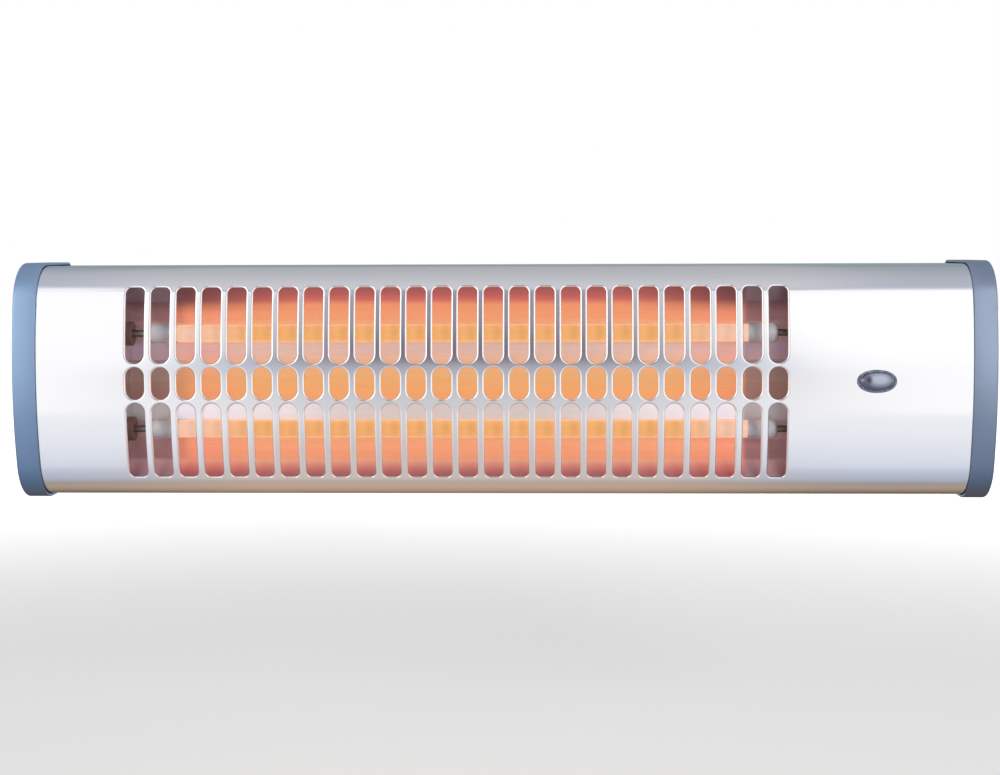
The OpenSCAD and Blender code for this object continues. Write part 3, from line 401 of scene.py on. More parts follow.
def under_tone(made, x, y, z):
    """White in front of the heater, blue-grey towards it and warm below and behind it."""
    ends = made.ramp(y, [
        (under_front_y, 240, 241, 245), (-0.52, 234, 236, 242), (-0.40, 222, 226, 235),
        (-0.30, 204, 209, 223), (-0.19, 183, 188, 204), (-0.15, 175, 180, 196),
        (-0.12, 163, 164, 173), (-0.10, 161, 150, 143), (-0.06, 171, 153, 137),
        (0.0, 153, 134, 118), (0.05, 126, 111, 97), (under_back_y, 86, 78, 68)])
    middle = made.ramp(y, [
        (under_front_y, 212, 212, 216), (-0.56, 210, 205, 207), (-0.44, 206, 196, 190),
        (-0.175, 200, 190, 184), (-0.15, 196, 187, 180), (-0.12, 185, 167, 156),
        (-0.06, 191, 164, 143), (0.0, 176, 150, 129), (0.05, 158, 134, 115),
        (under_back_y, 100, 87, 75)])
    return made.mixed(faded(made, x, figure_x + 0.02, 0.11, 0.28), middle, ends)


def over_tone(made, x, y, z):
    """The ends' ramp starts further back at the left-hand end."""
    leaning = made.number("SUBTRACT", y, made.spread(x, -0.28, -0.36, 0.0, 0.16))
    ends = made.ramp(leaning, [
        (over_front_y, 246, 247, 250), (-0.60, 206, 210, 224), (-0.53, 182, 186, 200),
        (-0.15, 174, 179, 188), (0.20, 158, 165, 173), (over_back_y, 134, 148, 156)])
    middle = made.ramp(y, [
        (over_front_y, 148, 149, 158), (-0.62, 172, 174, 184), (-0.55, 204, 205, 212),
        (-0.30, 200, 200, 206), (-0.15, 192, 192, 198), (0.20, 180, 181, 186),
        (over_back_y, 168, 170, 174)])
    return made.mixed(faded(made, x, figure_x + 0.02, 0.27, 0.40), middle, ends)


def camera_tone(made, x, y, z):
    """A dark figure above the camera's level and a faint shade below it, white beside."""
    figure = made.ramp(z, [
        (-0.2, 206, 207, 212), (0.024, 176, 174, 184), (0.08, 112, 106, 118),
        (0.192, 124, 118, 130), (0.304, 146, 140, 150), (camera_top_z, 158, 152, 160)])
    share = made.mixed(made.spread(z, -0.06, 0.07, smooth=True),
                       faded(made, x, figure_x, 0.10, 0.55), faded(made, x, figure_x, 0.12, 0.40))
    edge = made.ramp(z, [(-0.06, 255, 255, 255), (0.01, 206, 214, 230), (0.06, 206, 214, 230),
                         (0.14, 255, 255, 255)])
    sides = made.mixed(faded(made, x, figure_x, 0.28, 0.42), edge, white)
    return made.mixed(share, figure, sides)


def behind_tone(made, x, y, z):
    """Grey all over, a little deeper above."""
    return made.ramp(z, [(0.0, 150, 162, 168), (over_z, 140, 153, 160)])


def board(name, low, high, tone):
    """A board that only reflections see; tone gives its colour at a place."""
    sheet = stage_sheet(name, low, high)
    for ray in ("camera", "diffuse", "transmission", "volume_scatter", "shadow"):
        setattr(sheet, "visible_" + ray, False)
    material = bpy.data.materials.new(name)
    material.use_nodes = True
    made = Nodes(material.node_tree)
    made.nodes.remove(made.nodes["Principled BSDF"])
    glow = made.add("Emission", Color=tone(made, *made.apart()))
    made.feed(made.nodes["Material Output"].inputs["Surface"], glow.outputs["Emission"])
    sheet.data.materials.append(material)


figure_x = -0.06
under_front_y, under_back_y, under_z = -0.80, 0.35, -0.20
over_front_y, over_back_y, over_z = -0.66, 0.80, 0.60
camera_board_y, camera_foot_z, camera_top_z = -1.12, -0.42, 1.20
reach = 1.6
board("under_board", (-reach, under_front_y, under_z), (reach, under_back_y, under_z), under_tone)
board("over_board", (-reach, over_front_y, over_z), (reach, over_back_y, over_z), over_tone)
board("camera_board", (-1.0, camera_board_y, camera_foot_z), (1.0, camera_board_y, camera_top_z),
      camera_tone)
board("behind_board", (-reach, over_back_y, 0.0), (reach, over_back_y, over_z), behind_tone)

# %% [markdown]
# ## Metals
# The front is polished stainless steel: nearly a mirror, with a very fine grain from the
# polishing belt that only shows as a faint drag in the reflections. The hidden sheet is
# zinc-plated, which is duller and cloudy. A metal's character is in its roughness and bump,
# so each metal below sets those from the shared effects.

# %% Steel, zinc and brass
def soft_tone(made, first, second, size):
    """Drives Base Color by soft patches of two colours and gives their mask."""
    cloud = made.effect(patches, Size=size, First=first, Second=second)
    made.drive("Base Color", cloud["Color"])
    return cloud["Mask"]


def wear_edges(made, colour, amount, size, gain, lift=0.0):
    """Brightens Base Color on the rubbed edges."""
    if amount:
        worn = made.effect(edges, Amount=amount, Size=size)["Mask"]
        bright = [min(1.0, gain * v + lift) for v in colour]
        made.drive("Base Color", made.mixed(worn, made.tone(), bright))


def metal(name, first, second, roughness, grain_length, grain_width, relief, patch_size,
          edge_wear=0.0):
    """A metal with drawn grain and soft patches; edge_wear brightens its edges."""
    made = Finish(name, first, roughness[0], metallic=1.0)
    mask = soft_tone(made, first, second, patch_size)
    wear_edges(made, first, edge_wear, 0.004, 1.25)
    drawn = made.effect(grain, Length=grain_length, Width=grain_width)["Grain"]
    made.rough(made.number("MULTIPLY", mask, drawn), *roughness)
    made.bump(drawn, relief)


metal("steel_front", (0.97, 0.97, 0.985), (0.955, 0.955, 0.97), (0.10, 0.19),
      0.05, 0.00025, 0.0000015, 0.08)
metal("zinc_steel", (0.66, 0.68, 0.70), (0.56, 0.585, 0.62), (0.26, 0.55),
      0.006, 0.002, 0.000006, 0.012, edge_wear=0.5)
metal("screw_steel", (0.62, 0.63, 0.64), (0.50, 0.51, 0.53), (0.22, 0.5),
      0.002, 0.0006, 0.000008, 0.004, edge_wear=0.8)
# Painted shade: the terminal studs are dark brown for the dark ends of the housing they sit in.
metal("stud_steel", (0.30, 0.25, 0.23), (0.22, 0.18, 0.17), (0.3, 0.6),
      0.004, 0.0005, 0.000006, 0.006)
metal("brass", (0.78, 0.60, 0.30), (0.66, 0.47, 0.21), (0.22, 0.5),
      0.003, 0.0005, 0.000006, 0.005, edge_wear=0.6)
print("metals", sorted(set(finishes) - {"pale floor"}))

# %% [markdown]
# ## Plastics, rubber and ceramic
# Moulded plastic has one colour all through, so its life comes from the skin: a fine pebble
# that breaks up the gloss, and edges that handling has polished a little. The end caps are a
# faintly pearled blue-grey, so they get a share of Metallic; painted shade darkens them
# towards the bottom, and the right-hand cap has a painted duller tone. The lamp's bezel has
# painted pale patches for sparkle. Ceramic is the same recipe with a coarser, chalkier skin.

# %% Plastics and rubber
def moulded(name, first, second, roughness, pebble, relief, patch_size=0.02, metallic=0.0,
            edge_wear=0.0):
    """A moulded or fired material with a pebbled skin."""
    made = Finish(name, first, roughness[0], metallic)
    mask = soft_tone(made, first, second, patch_size)
    wear_edges(made, first, edge_wear, 0.006, 1.3, 0.03)
    made.rough(mask, *roughness)
    made.bump(made.effect(skin, Pebble=pebble)["Height"], relief)
    return made


def pearled_caps_with_painted_shade():
    """Satin blue-grey; painted shade towards the bottom, a painted duller tone at the right."""
    made = moulded("cap_plastic", seen(158, 187, 222), seen(153, 182, 217), (0.30, 0.40),
                   0.0005, 0.000012, patch_size=0.05, metallic=0.6, edge_wear=0.3)
    place = made.apart()
    # Painted shade: the caps turn darker and bluer towards the bottom.
    depth = made.ramp(place["Z"], [(-68.0, 0.50), (-43.52, 0.60), (-21.76, 0.70), (-6.8, 0.84),
                                   (6.8, 0.96), (21.76, 1.0), (68.0, 1.0)], unit=mm,
                      tone=lambda level: (level, level ** 0.9, level ** 0.75))
    # Painted light: the right-hand cap gets a duller, warmer tone than the left, for the light it
    # catches.
    side = made.mixed(made.spread(place["X"], -0.1, 0.1), white, (0.98, 0.82, 0.75))
    made.drive("Base Color", made.vector("MULTIPLY", made.vector("MULTIPLY", made.tone(), depth),
                                         side))


pearled_caps_with_painted_shade()
moulded("white_plastic", (0.86, 0.85, 0.81), (0.82, 0.80, 0.75), (0.35, 0.5),
        0.0006, 0.00002, edge_wear=0.3)
moulded("cutout_phenolic", (0.10, 0.085, 0.075), (0.14, 0.12, 0.10), (0.3, 0.5),
        0.0005, 0.00002, edge_wear=0.4)
moulded("black_rubber", (0.03, 0.03, 0.032), (0.045, 0.045, 0.047), (0.55, 0.75),
        0.0007, 0.00003)
# Painted highlights: small pale patches on the dark bezel add to the sparkle of its facets.
moulded("bezel_plastic", (0.05, 0.06, 0.13), (0.50, 0.51, 0.66), (0.06, 0.16),
        0.001, 0.000004, patch_size=0.0011)
for lead_name, lead_colour in (("white_lead", (0.80, 0.79, 0.74)),
                               ("blue_lead", (0.03, 0.13, 0.50)),
                               ("brown_lead", (0.16, 0.055, 0.02))):
    moulded(lead_name, lead_colour, tuple(0.85 * v for v in lead_colour), (0.4, 0.55),
            0.0009, 0.00003, patch_size=0.01)
print("finishes so far", len(finishes))

# %% [markdown]
# ## The earth lead's stripes
# The earth lead's sleeve is yellow with a green stripe on each side: a wave in one fixed
# direction across the sleeve, which reads as stripes at this size although the lead bends.

# %% The earth lead
def striped_sleeve():
    """Green and yellow, side by side along the sleeve."""
    yellow, green = (0.62, 0.60, 0.03), (0.03, 0.30, 0.06)
    made = Finish("earth_lead_sleeve", yellow, 0.45)
    stripes = made.add("TexWave", bands_direction="DIAGONAL", Scale=260.0, Distortion=0.0,
                       Vector=made.place()).outputs["Fac"]
    made.drive("Base Color", made.mixed(made.spread(stripes, 0.45, 0.55), yellow, green))
    made.rough(stripes, 0.4, 0.5)
    made.bump(made.effect(skin, Pebble=0.0009)["Height"], 0.00003)


striped_sleeve()
print("earth sleeve ready")

# %% [markdown]
# ## Glowing quartz
# A quartz bar in use looks solid: the hot wire lights the satin wall of the tube, which
# glows evenly and only hints at the coil inside. So the wall is a satin, slightly see-through
# material that sends out light of its own. It is golden in the middle, paler where it meets
# the ceramic, with a painted highlight where it is seen edge-on, and faint bands at the pitch
# of the coil. The wire behind it is brighter. The ceramic is pale between the end plates and
# painted dark brown outside them, as shade.

# %% The quartz, the wire and the ceramic
tube_low, tube_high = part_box("upper_quartz_tube")
tube_middle_x = (tube_low.x + tube_high.x) / 2
ceramic_edge = tube_middle_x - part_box("upper_left_ceramic")[1].x
coil_turns, coil_short_of_ceramic = 44, 2.4 * mm
coil_pitch = 2 * (ceramic_edge - coil_short_of_ceramic) / coil_turns


def from_tube_middle(made):
    """The height, the place along the tubes from their middle, and how far off that is."""
    place = made.apart()
    along = made.number("SUBTRACT", place["X"], tube_middle_x)
    return place["Z"], along, made.number("ABSOLUTE", along)


def glow_along(made, middle, end, rim, band_share):
    """Emission that changes towards the ends, a painted highlight at the rim, soft coil bands."""
    _, along, out = from_tube_middle(made)
    heat = made.spread(out, ceramic_edge - 4 * mm, ceramic_edge - 48 * mm, smooth=True)
    # Painted highlight: the tube turns paler where it is seen edge-on.
    facing = made.add("LayerWeight", Blend=0.25).outputs["Facing"]
    tone = made.mixed(facing, made.mixed(heat, end, middle), rim)
    wave = made.number("SINE", made.number("MULTIPLY", along, 2 * math.pi / coil_pitch))
    level = made.spread(wave, -1.0, 1.0, 1.0 - band_share)
    made.drive("Emission Color", made.vector("MULTIPLY", tone, level))


def quartz():
    """The satin wall of a lit tube."""
    made = Finish("quartz", (0.25, 0.15, 0.10), 0.22, Alpha=0.85, Emission_Strength=1.0,
                  Coat_Weight=0.3, Coat_Roughness=0.05)
    made.rough(soft_tone(made, (0.27, 0.17, 0.11), (0.22, 0.13, 0.08), 0.006), 0.18, 0.3)
    glow_along(made, (0.72, 0.335, 0.10), (0.76, 0.48, 0.36), (0.88, 0.50, 0.28), 0.08)


def hot_wire():
    """The glowing coil."""
    made = Finish("heating_wire", (0.10, 0.06, 0.04), 0.6, metallic=0.6, Emission_Strength=1.0)
    soft_tone(made, (0.12, 0.08, 0.05), (0.08, 0.05, 0.035), 0.003)
    glow_along(made, (1.0, 0.55, 0.18), (0.90, 0.42, 0.20), (1.0, 0.60, 0.25), 0.02)


def ceramic_with_painted_shade():
    """Pale steatite between the end plates, painted dark brown as shade outside them."""
    made = moulded("ceramic", (0.84, 0.84, 0.90), (0.76, 0.76, 0.81), (0.35, 0.55),
                   0.0008, 0.00004)
    out = from_tube_middle(made)[2]
    # Painted shade: the ceramic turns dark brown outside the end plates.
    painted_shade_beyond = made.spread(out, ceramic_edge + 14 * mm, ceramic_edge + 22 * mm)
    made.drive("Base Color", made.mixed(painted_shade_beyond, made.tone(), (0.20, 0.12, 0.095)))


quartz()
hot_wire()
ceramic_with_painted_shade()
print("tube middle", round(tube_middle_x / mm, 2), "mm, lit to", round(ceramic_edge / mm, 2), "mm")

# %% [markdown]
# ## The reflector
# The reflector is rolled aluminium, dull enough to smear what it mirrors: orange in both
# troughs, pale on the flats beside the ridge, where the room comes in, and a dark red near
# the mouth. The tubes are too dim in a picture to cast that light, so the glow is written
# into the metal as painted light, and the pale room on the flats as a painted reflection. It
# follows the height on the sheet, reddens towards the ends, falls into painted shade along
# the upper strip there and stops where the lit length of the tubes stops. Over it lie the
# fine streaks of rolled metal.

# %% The reflector's glow
def glowing_reflector():
    """Rolled aluminium with the tubes' glow, the room's reflection and shade painted into it."""
    made = Finish("reflector_aluminium", (0.86, 0.86, 0.87), 0.36, metallic=1.0,
                  Emission_Strength=0.56)
    height, along, out = from_tube_middle(made)
    # Painted light along the height: the tubes' orange glow in the troughs, a pale painted
    # reflection of the room beside the ridge, and dark red near the mouth.
    zone = made.ramp(height, [
        (-57.0, 120, 70, 74), (-52.0, 162, 90, 88), (-49.0, 196, 120, 106),
        (-46.0, 212, 152, 126), (-24.5, 216, 172, 138), (-23.0, 200, 196, 196),
        (-13.5, 196, 190, 190), (-11.5, 216, 166, 122), (0.0, 216, 174, 120),
        (11.0, 214, 174, 140), (13.0, 210, 174, 158), (20.0, 206, 178, 170),
        (22.0, 214, 168, 138), (34.0, 212, 162, 130), (43.5, 212, 152, 126),
        (46.5, 190, 104, 100), (49.5, 172, 88, 88), (57.0, 126, 76, 78)], unit=mm)
    reddened = made.spread(out, 110 * mm, 158 * mm, 0.0, 0.6, smooth=True)
    tone = made.mixed(reddened, zone, made.vector("MULTIPLY", zone, (0.98, 0.62, 0.62)))
    # Painted reflection of the room: the flats beside the ridge turn pale towards the ends.
    on_flat = made.number("COMPARE", height, -18 * mm, 5 * mm)
    bright = made.number("MULTIPLY", on_flat, made.spread(out, 50 * mm, 110 * mm, smooth=True))
    tone = made.mixed(bright, tone, seen(218, 216, 224))
    # Painted shade along the upper strip towards the ends.
    high = made.spread(height, 37 * mm, 47 * mm, 0.0, 0.78, smooth=True)
    shade = made.number("MULTIPLY", made.spread(out, 92 * mm, 158 * mm), high)
    tone = made.mixed(shade, tone, seen(58, 44, 46))
    # Painted shade beyond the lit length of the tubes: bluish on the pale flats, brown elsewhere.
    from_lit_middle = made.number("ABSOLUTE", made.number("ADD", along, 3 * mm))
    lit = made.spread(from_lit_middle, 166 * mm, 162 * mm, smooth=True)
    unlit = made.mixed(bright, (0.36, 0.44, 0.76), (0.36, 0.32, 0.28))
    painted_light = made.mixed(lit, made.vector("MULTIPLY", tone, unlit), tone)
    streaks = made.effect(grain, Length=0.05, Width=0.0011)["Grain"]
    level = made.spread(streaks, 0.3, 0.7, 0.90, 1.06)
    made.drive("Emission Color", made.vector("MULTIPLY", painted_light, level))
    # Base Color takes the painted tone too, where the tubes are lit.
    share = made.spread(lit, 0.0, 1.0, 0.3, 0.8)
    made.drive("Base Color", made.mixed(share, (0.40, 0.33, 0.33), tone))
    fine = made.effect(grain, Length=0.06, Width=0.0003)["Grain"]
    made.rough(fine, 0.30, 0.44)
    made.bump(fine, 0.000002)


glowing_reflector()
print("finishes", len(finishes))

# %% [markdown]
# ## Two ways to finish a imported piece
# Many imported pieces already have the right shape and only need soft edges, which catch the
# light. A Weld, a narrow Bevel and a Weighted Normal give them without moving one vertex of
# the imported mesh. Each flat is first made one face again, because a bevel over long thin
# triangles leaves dark streaks. Swept wires and leads have a coarse section, which a
# Subdivision Surface rounds. The neon lamp's warm glass is made here too.

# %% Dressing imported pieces
def dressed(names, finish):
    """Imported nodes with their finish, smooth flags and no imported corner normals."""
    nodes = [frame["nodes"][name] for name in names.split()]
    for node in nodes:
        node.data.materials.clear()
        node.data.materials.append(finishes[finish])
        node.data.polygons.foreach_set("use_smooth", [True] * len(node.data.polygons))
        if node.data.has_custom_normals:
            node.data.attributes.remove(node.data.attributes["custom_normal"])
        modify(node, "weld", "WELD", merge_threshold=0.002 * mm)
    return nodes


def modify(node, name, kind, **settings):
    """Adds a modifier and sets it."""
    modifier = node.modifiers.new(name, kind)
    for setting, value in settings.items():
        setattr(modifier, setting, value)


def soften(names, finish, width, segments=2):
    """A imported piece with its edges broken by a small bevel."""
    for node in dressed(names, finish):
        modify(node, "whole_flats", "DECIMATE", decimate_type="DISSOLVE",
               angle_limit=math.radians(0.4))
        modify(node, "soft_edges", "BEVEL", width=width * mm, segments=segments,
               limit_method="ANGLE", angle_limit=math.radians(28), miter_outer="MITER_ARC")
        modify(node, "even_shading", "WEIGHTED_NORMAL", keep_sharp=False)


def round_out(names, finish, levels):
    """A swept piece with a coarse section, rounded by subdivision."""
    for node in dressed(names, finish):
        modify(node, "round", "SUBSURF", levels=levels, render_levels=levels)


neon = Finish("neon_glass", (0.55, 0.22, 0.12), 0.12, Emission_Strength=0.4)
soft_tone(neon, (0.60, 0.24, 0.12), (0.42, 0.14, 0.08), 0.002)
neon.drive("Emission Color", neon.tone())
soften("reflector", "reflector_aluminium", 0.1)
soften("left_end_plate right_end_plate back_plate wall_bracket left_pivot_lug right_pivot_lug",
       "zinc_steel", 0.2)
soften("upper_quartz_tube lower_quartz_tube", "quartz", 0.25)
soften("upper_left_ceramic upper_right_ceramic lower_left_ceramic lower_right_ceramic "
       "insulating_bushes", "ceramic", 0.35)
soften("terminal_studs", "stud_steel", 0.3)
soften("terminal_nuts ring_terminals terminal_block_screws earth_terminal", "brass", 0.15)
soften("pull_switch_body terminal_block", "white_plastic", 0.5)
soften("thermal_cutout", "cutout_phenolic", 0.3)
soften("cable_grommet wire_grommets", "black_rubber", 0.5, segments=3)
soften("pilot_clip", "bezel_plastic", 0.2)
soften("pivot_bolts pivot_washers pivot_nuts", "screw_steel", 0.3)
soften("pilot_neon", "neon_glass", 0.1)
round_out("upper_heating_coil lower_heating_coil", "heating_wire", 1)
round_out("left_link_lead upper_live_lead lower_live_lead lamp_leads", "white_lead", 2)
round_out("neutral_lead", "blue_lead", 2)
round_out("cutout_lead supply_lead", "brown_lead", 2)
round_out("earth_lead", "earth_lead_sleeve", 2)
print("packed pieces dressed")

# %% [markdown]
# ## The section of the housing
# The front is one sheet, bent along its whole length: a shallow bow in front, a round corner
# above and below, a straight wall and a turned-in edge behind. A place on that bent line is
# known by its distance along the sheet, so the sheet can be laid out flat, cut, and folded
# again. The caps follow the same line, drawn a little larger.

# %% The bent line
cap_low, cap_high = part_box("right_end_cap")
shell_low, shell_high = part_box("front_shell")
front_radius = 223 * mm
corner_radius = 25.6 * mm
half_height = cap_high.z
front_y = cap_low.y
corner_z = half_height - corner_radius
corner_depth = front_radius - math.sqrt((front_radius - corner_radius) ** 2 - corner_z ** 2)
join_angle = math.atan2(corner_z, front_radius - corner_depth)


def section_arcs(inset, rear_depth, rear_radius):
    """The arcs of the upper half: rows of centre depth and height, radius, start and stop."""
    return [(front_radius, 0.0, front_radius - inset, 0.0, join_angle),
            (corner_depth, corner_z, corner_radius - inset, join_angle, math.pi / 2),
            (rear_depth - rear_radius, half_height - inset - rear_radius, rear_radius,
             math.pi / 2, math.pi)]


def arc_points(arc, count):
    """Points [depth, height, normal angle] along an arc."""
    depth, height, radius, start, stop = arc
    turns = np.linspace(start, stop, count)
    return np.column_stack([depth - radius * np.cos(turns), height + radius * np.sin(turns), turns])


def bent_line(inset, rear_depth, rear_radius, rear_z, step=0.25 * mm):
    """Points [distance, depth, height, normal angle] from the front's middle over the top and
    down to rear_z behind, for the outline drawn in by inset."""
    line = [arc_points(arc, max(2, math.ceil(arc[2] * (arc[4] - arc[3]) / step) + 1))
            for arc in section_arcs(inset, rear_depth, rear_radius)]
    line = np.concatenate([*line, [(rear_depth, rear_z, math.pi)]])
    steps = np.hypot(*np.diff(line[:, :2], axis=0).T)
    line = line[np.concatenate([[True], steps > 1e-9])]
    steps = np.hypot(*np.diff(line[:, :2], axis=0).T)
    return np.column_stack([np.concatenate([[0.0], np.cumsum(steps)]), line])


fold_radius = 1.6 * mm
sheet_thickness = 0.8 * mm
hem_edge_z = 56.2 * mm
shell_line = bent_line(half_height - shell_high.z, shell_high.y - front_y, fold_radius, hem_edge_z)
rising = shell_line[shell_line[:, 3] < math.pi / 2 - 0.02]
sheet_half = shell_line[-1, 0]
print("the front sheet is", round(2 * sheet_half / mm, 1), "mm wide before bending")

# %% [markdown]
# ## The slots
# A press cuts each slot and rolls its edge inwards in one blow. That smooth rim is what one
# sees first in the photograph, as a bright line round each slot. Here a slot is a loop of
# points, and the rim is swept along it: a quarter round, a short straight wall, and the same
# again on the inside of the sheet.

# %% Slot loops
slot_columns, slot_pitch, slot_width = 26, 14.48 * mm, 10.3 * mm
slot_field_middle = -25.9 * mm
slot_rows = [(-53.8 * mm, -11.4 * mm), (-9.0 * mm, 9.0 * mm), (11.4 * mm, 53.8 * mm)]
rim_radius, wall_depth = 1.15 * mm, 2.1 * mm
outer_corner = 2.9 * mm
end_steps, side_step = 14, 2.0 * mm


def end_arc(x, z, corner, start):
    """Points and directions over a slot's end, turning half round from the angle start."""
    points, away = [], []
    for k, side in enumerate((1, -1)):
        turns = start + np.linspace(k, k + 1, end_steps // 2 + 1) * math.pi / 2
        if corner == slot_width / 2 and k:
            turns = turns[1:]
        side *= math.cos(start) * (slot_width / 2 - corner)
        for angle in turns:
            points.append((x + side + corner * math.cos(angle), z + corner * math.sin(angle)))
            away.append((math.cos(angle), math.sin(angle)))
    return points, away


def slot_loop(x, low, high):
    """Points [x, z] and outward directions round a slot's clear edge."""
    r = slot_width / 2
    top = outer_corner if low > 0 else r
    bottom = outer_corner if high < 0 else r
    count = max(1, round((high - low - top - bottom) / side_step))
    side = np.linspace(low + bottom, high - top, count + 1)[1:-1]
    upper, lower = end_arc(x, high - top, top, 0.0), end_arc(x, low + bottom, bottom, math.pi)
    points = upper[0] + [(x - r, z) for z in side[::-1]] + lower[0] + [(x + r, z) for z in side]
    away = upper[1] + [(-1.0, 0.0)] * len(side) + lower[1] + [(1.0, 0.0)] * len(side)
    return np.array(points), np.array(away)


def rim_profile(steps=5):
    """Points [distance outside the clear edge, depth below the surface], front to back."""
    inner = max(rim_radius - sheet_thickness, 0.2 * mm)
    rows = [(rim_radius * (1 - math.sin(a)), rim_radius * (1 - math.cos(a)))
            for a in np.linspace(0, math.pi / 2, steps + 1)[1:]]
    rows += [(0.0, wall_depth), (sheet_thickness, wall_depth)]
    return rows + [(rim_radius - inner * math.sin(a), sheet_thickness + inner * (1 - math.cos(a)))
                   for a in (math.pi / 2, math.pi / 4)]


slots = [slot_loop(slot_field_middle + (column - (slot_columns - 1) / 2) * slot_pitch, low, high)
         for column in range(slot_columns) for low, high in slot_rows]
print("slots", len(slots), "with", sum(len(p) for p, _ in slots), "edge points")

# %% [markdown]
# ## The sheet laid flat
# The flat blank is a rectangle with holes. A Delaunay triangulation joins the outline of every
# hole and a grid of extra points with well-shaped triangles. The rows of the grid lie where
# the sheet will bend, so each triangle stays in one bend step and the folded sheet is smooth.

# %% The flat blank
bezel_low, bezel_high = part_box("pilot_bezel")
rod_low, rod_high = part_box("pull_rod")
bush_low, bush_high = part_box("pull_cord_bush")
lamp_x, lamp_z = (bezel_low.x + bezel_high.x) / 2, (bezel_low.z + bezel_high.z) / 2
rod_x, rod_y = (rod_low.x + rod_high.x) / 2, (rod_low.y + rod_high.y) / 2
lamp_hole = (20.9 * mm, 11.7 * mm)
bush_hole_radius, vent_radius, vent_from_edge = 4.9 * mm, 1.8 * mm, 4.7 * mm
flat_from = shell_line[np.argmax(shell_line[:, 3] >= math.pi / 2 - 1e-6)]


def distance_at(z):
    """Distance along the sheet of a height on the front."""
    return np.sign(z) * np.interp(np.abs(z), rising[:, 2], rising[:, 0])


def circle(steps):
    """Directions round a circle: the cosines and the sines."""
    a = np.linspace(0, 2 * math.pi, steps, endpoint=False)
    return np.cos(a), np.sin(a)


def round_hole(x, distance, radius, steps=24):
    """A round hole in the blank: [x, distance] points."""
    cosine, sine = circle(steps)
    return np.column_stack([x + radius * cosine, distance + radius * sine])


def lamp_oval(width, height, steps=48):
    """The pilot lamp's oval hole, whose height is measured on the bent front."""
    cosine, sine = circle(steps)
    return np.column_stack([lamp_x + width / 2 * cosine, distance_at(lamp_z + height / 2 * sine)])


rod_distance = -(flat_from[0] + rod_y - front_y - flat_from[1])
plain_holes = [lamp_oval(*lamp_hole), round_hole(rod_x, rod_distance, bush_hole_radius)]
plain_holes += [round_hole(x, side * (sheet_half - vent_from_edge), vent_radius, 12)
                for x in (-150 * mm, 0.0, 150 * mm) for side in (-1, 1)]


def bend_rows():
    """Distances along the sheet at which a row of grid points lies, lower edge to upper."""
    angles = shell_line[:, 3]
    corner_start = shell_line[np.argmax(angles > join_angle - 1e-6), 0]
    fold_start = shell_line[np.argmax(angles > math.pi / 2 + 1e-6), 0]
    upper = np.concatenate([
        np.arange(0, front_radius * join_angle, 2.0 * mm)[1:],
        np.linspace(corner_start, flat_from[0], 28), np.linspace(flat_from[0], fold_start, 5)[1:],
        np.linspace(fold_start, shell_line[-2, 0], 6)[1:], [sheet_half]])
    upper = upper[np.concatenate([[True], np.diff(upper) > 0.4 * mm])]
    return np.concatenate([-upper[::-1], [0.0], upper])


def near_hole(a, b, margin=1.0 * mm):
    """Whether the level stretch from a to b comes near a plain hole."""
    for loop in plain_holes:
        low, high = loop.min(0) - margin, loop.max(0) + margin
        if low[1] < a[1] < high[1] and a[0] < high[0] and b[0] > low[0]:
            return True
    return False


field_half = (slot_columns - 1) / 2 * slot_pitch + slot_width / 2 + rim_radius + 1.2 * mm
field_left, field_right = slot_field_middle - field_half, slot_field_middle + field_half
field_top = distance_at(slot_rows[2][1] + rim_radius) + 0.6 * mm
grid_step = 9 * mm


def flat_blank():
    """Points, forced edges and hole loops of the blank."""
    points, forced, loops = [], [], []
    outlines = [outline + away * rim_radius for outline, away in slots]
    rims = [np.column_stack([rim[:, 0], distance_at(rim[:, 1])]) for rim in outlines]
    for loop in rims + plain_holes:
        loops.append(range(len(points), len(points) + len(loop)))
        points.extend(loop)
        forced += list(zip(loops[-1], [*loops[-1][1:], loops[-1][0]]))
    for distance in bend_rows():
        spans = [(shell_low.x, shell_high.x)]
        if abs(distance) < field_top:
            spans = [(shell_low.x, field_left), (field_right, shell_high.x)]
        for start, stop in spans:
            last = None
            for x in np.linspace(start, stop, max(2, round((stop - start) / grid_step) + 1)):
                place = (x, distance)
                if near_hole(place, place):
                    last = None
                    continue
                points.append(place)
                if last is not None and not near_hole(points[last], place, 0.3 * mm):
                    forced.append((last, len(points) - 1))
                last = len(points) - 1
    return np.array(points), forced, loops


blank, forced_edges, hole_loops = flat_blank()
cut = delaunay_2d_cdt([Vector(p / mm) for p in blank], forced_edges, [], 0, 1e-5)
print("blank points", len(blank), "after the cut", len(cut[0]), "triangles", len(cut[2]))

# %% [markdown]
# ## Folding the sheet and rolling the rims
# To fold it, a point's distance along the sheet is looked up on the bent line, which gives
# its depth, its height and the direction it faces. The inside of the sheet is the same set of
# points, one thickness further in, and the rims go between the two. The exact directions are
# stored as custom normals, because a mirror shows every facet.

# %% The front shell
def on_sheet(places, inward):
    """Folded places, and the directions they face, for [x, distance] rows."""
    far, side = np.abs(places[:, 1]), np.where(places[:, 1] < 0, -1.0, 1.0)
    depth, height, angle = (np.interp(far, shell_line[:, 0], shell_line[:, k]) for k in (1, 2, 3))
    facing = np.column_stack([np.zeros(len(far)), -np.cos(angle), side * np.sin(angle)])
    return np.column_stack([places[:, 0], front_y + depth, side * height]) - inward * facing, facing


def rim_layers(outline, away, first, last, facing):
    """A slot's rim as rings of points from its first to its last, and their directions."""
    rings = [first]
    for outside, deep in rim_profile():
        x, z = (outline + away * outside).T
        depth = np.interp(np.abs(z), rising[:, 2], rising[:, 1])
        rings.append(np.column_stack([x, front_y + depth + deep, z]))
    rings = np.array(rings + [last])
    around = np.roll(rings, -1, axis=1) - np.roll(rings, 1, axis=1)
    direction = np.cross(around, np.gradient(rings, axis=0))
    direction /= np.linalg.norm(direction, axis=2, keepdims=True)
    if np.mean(np.sum(direction[0] * facing, axis=1)) < 0:
        direction = -direction
    return rings[1:-1], direction[1:-1]


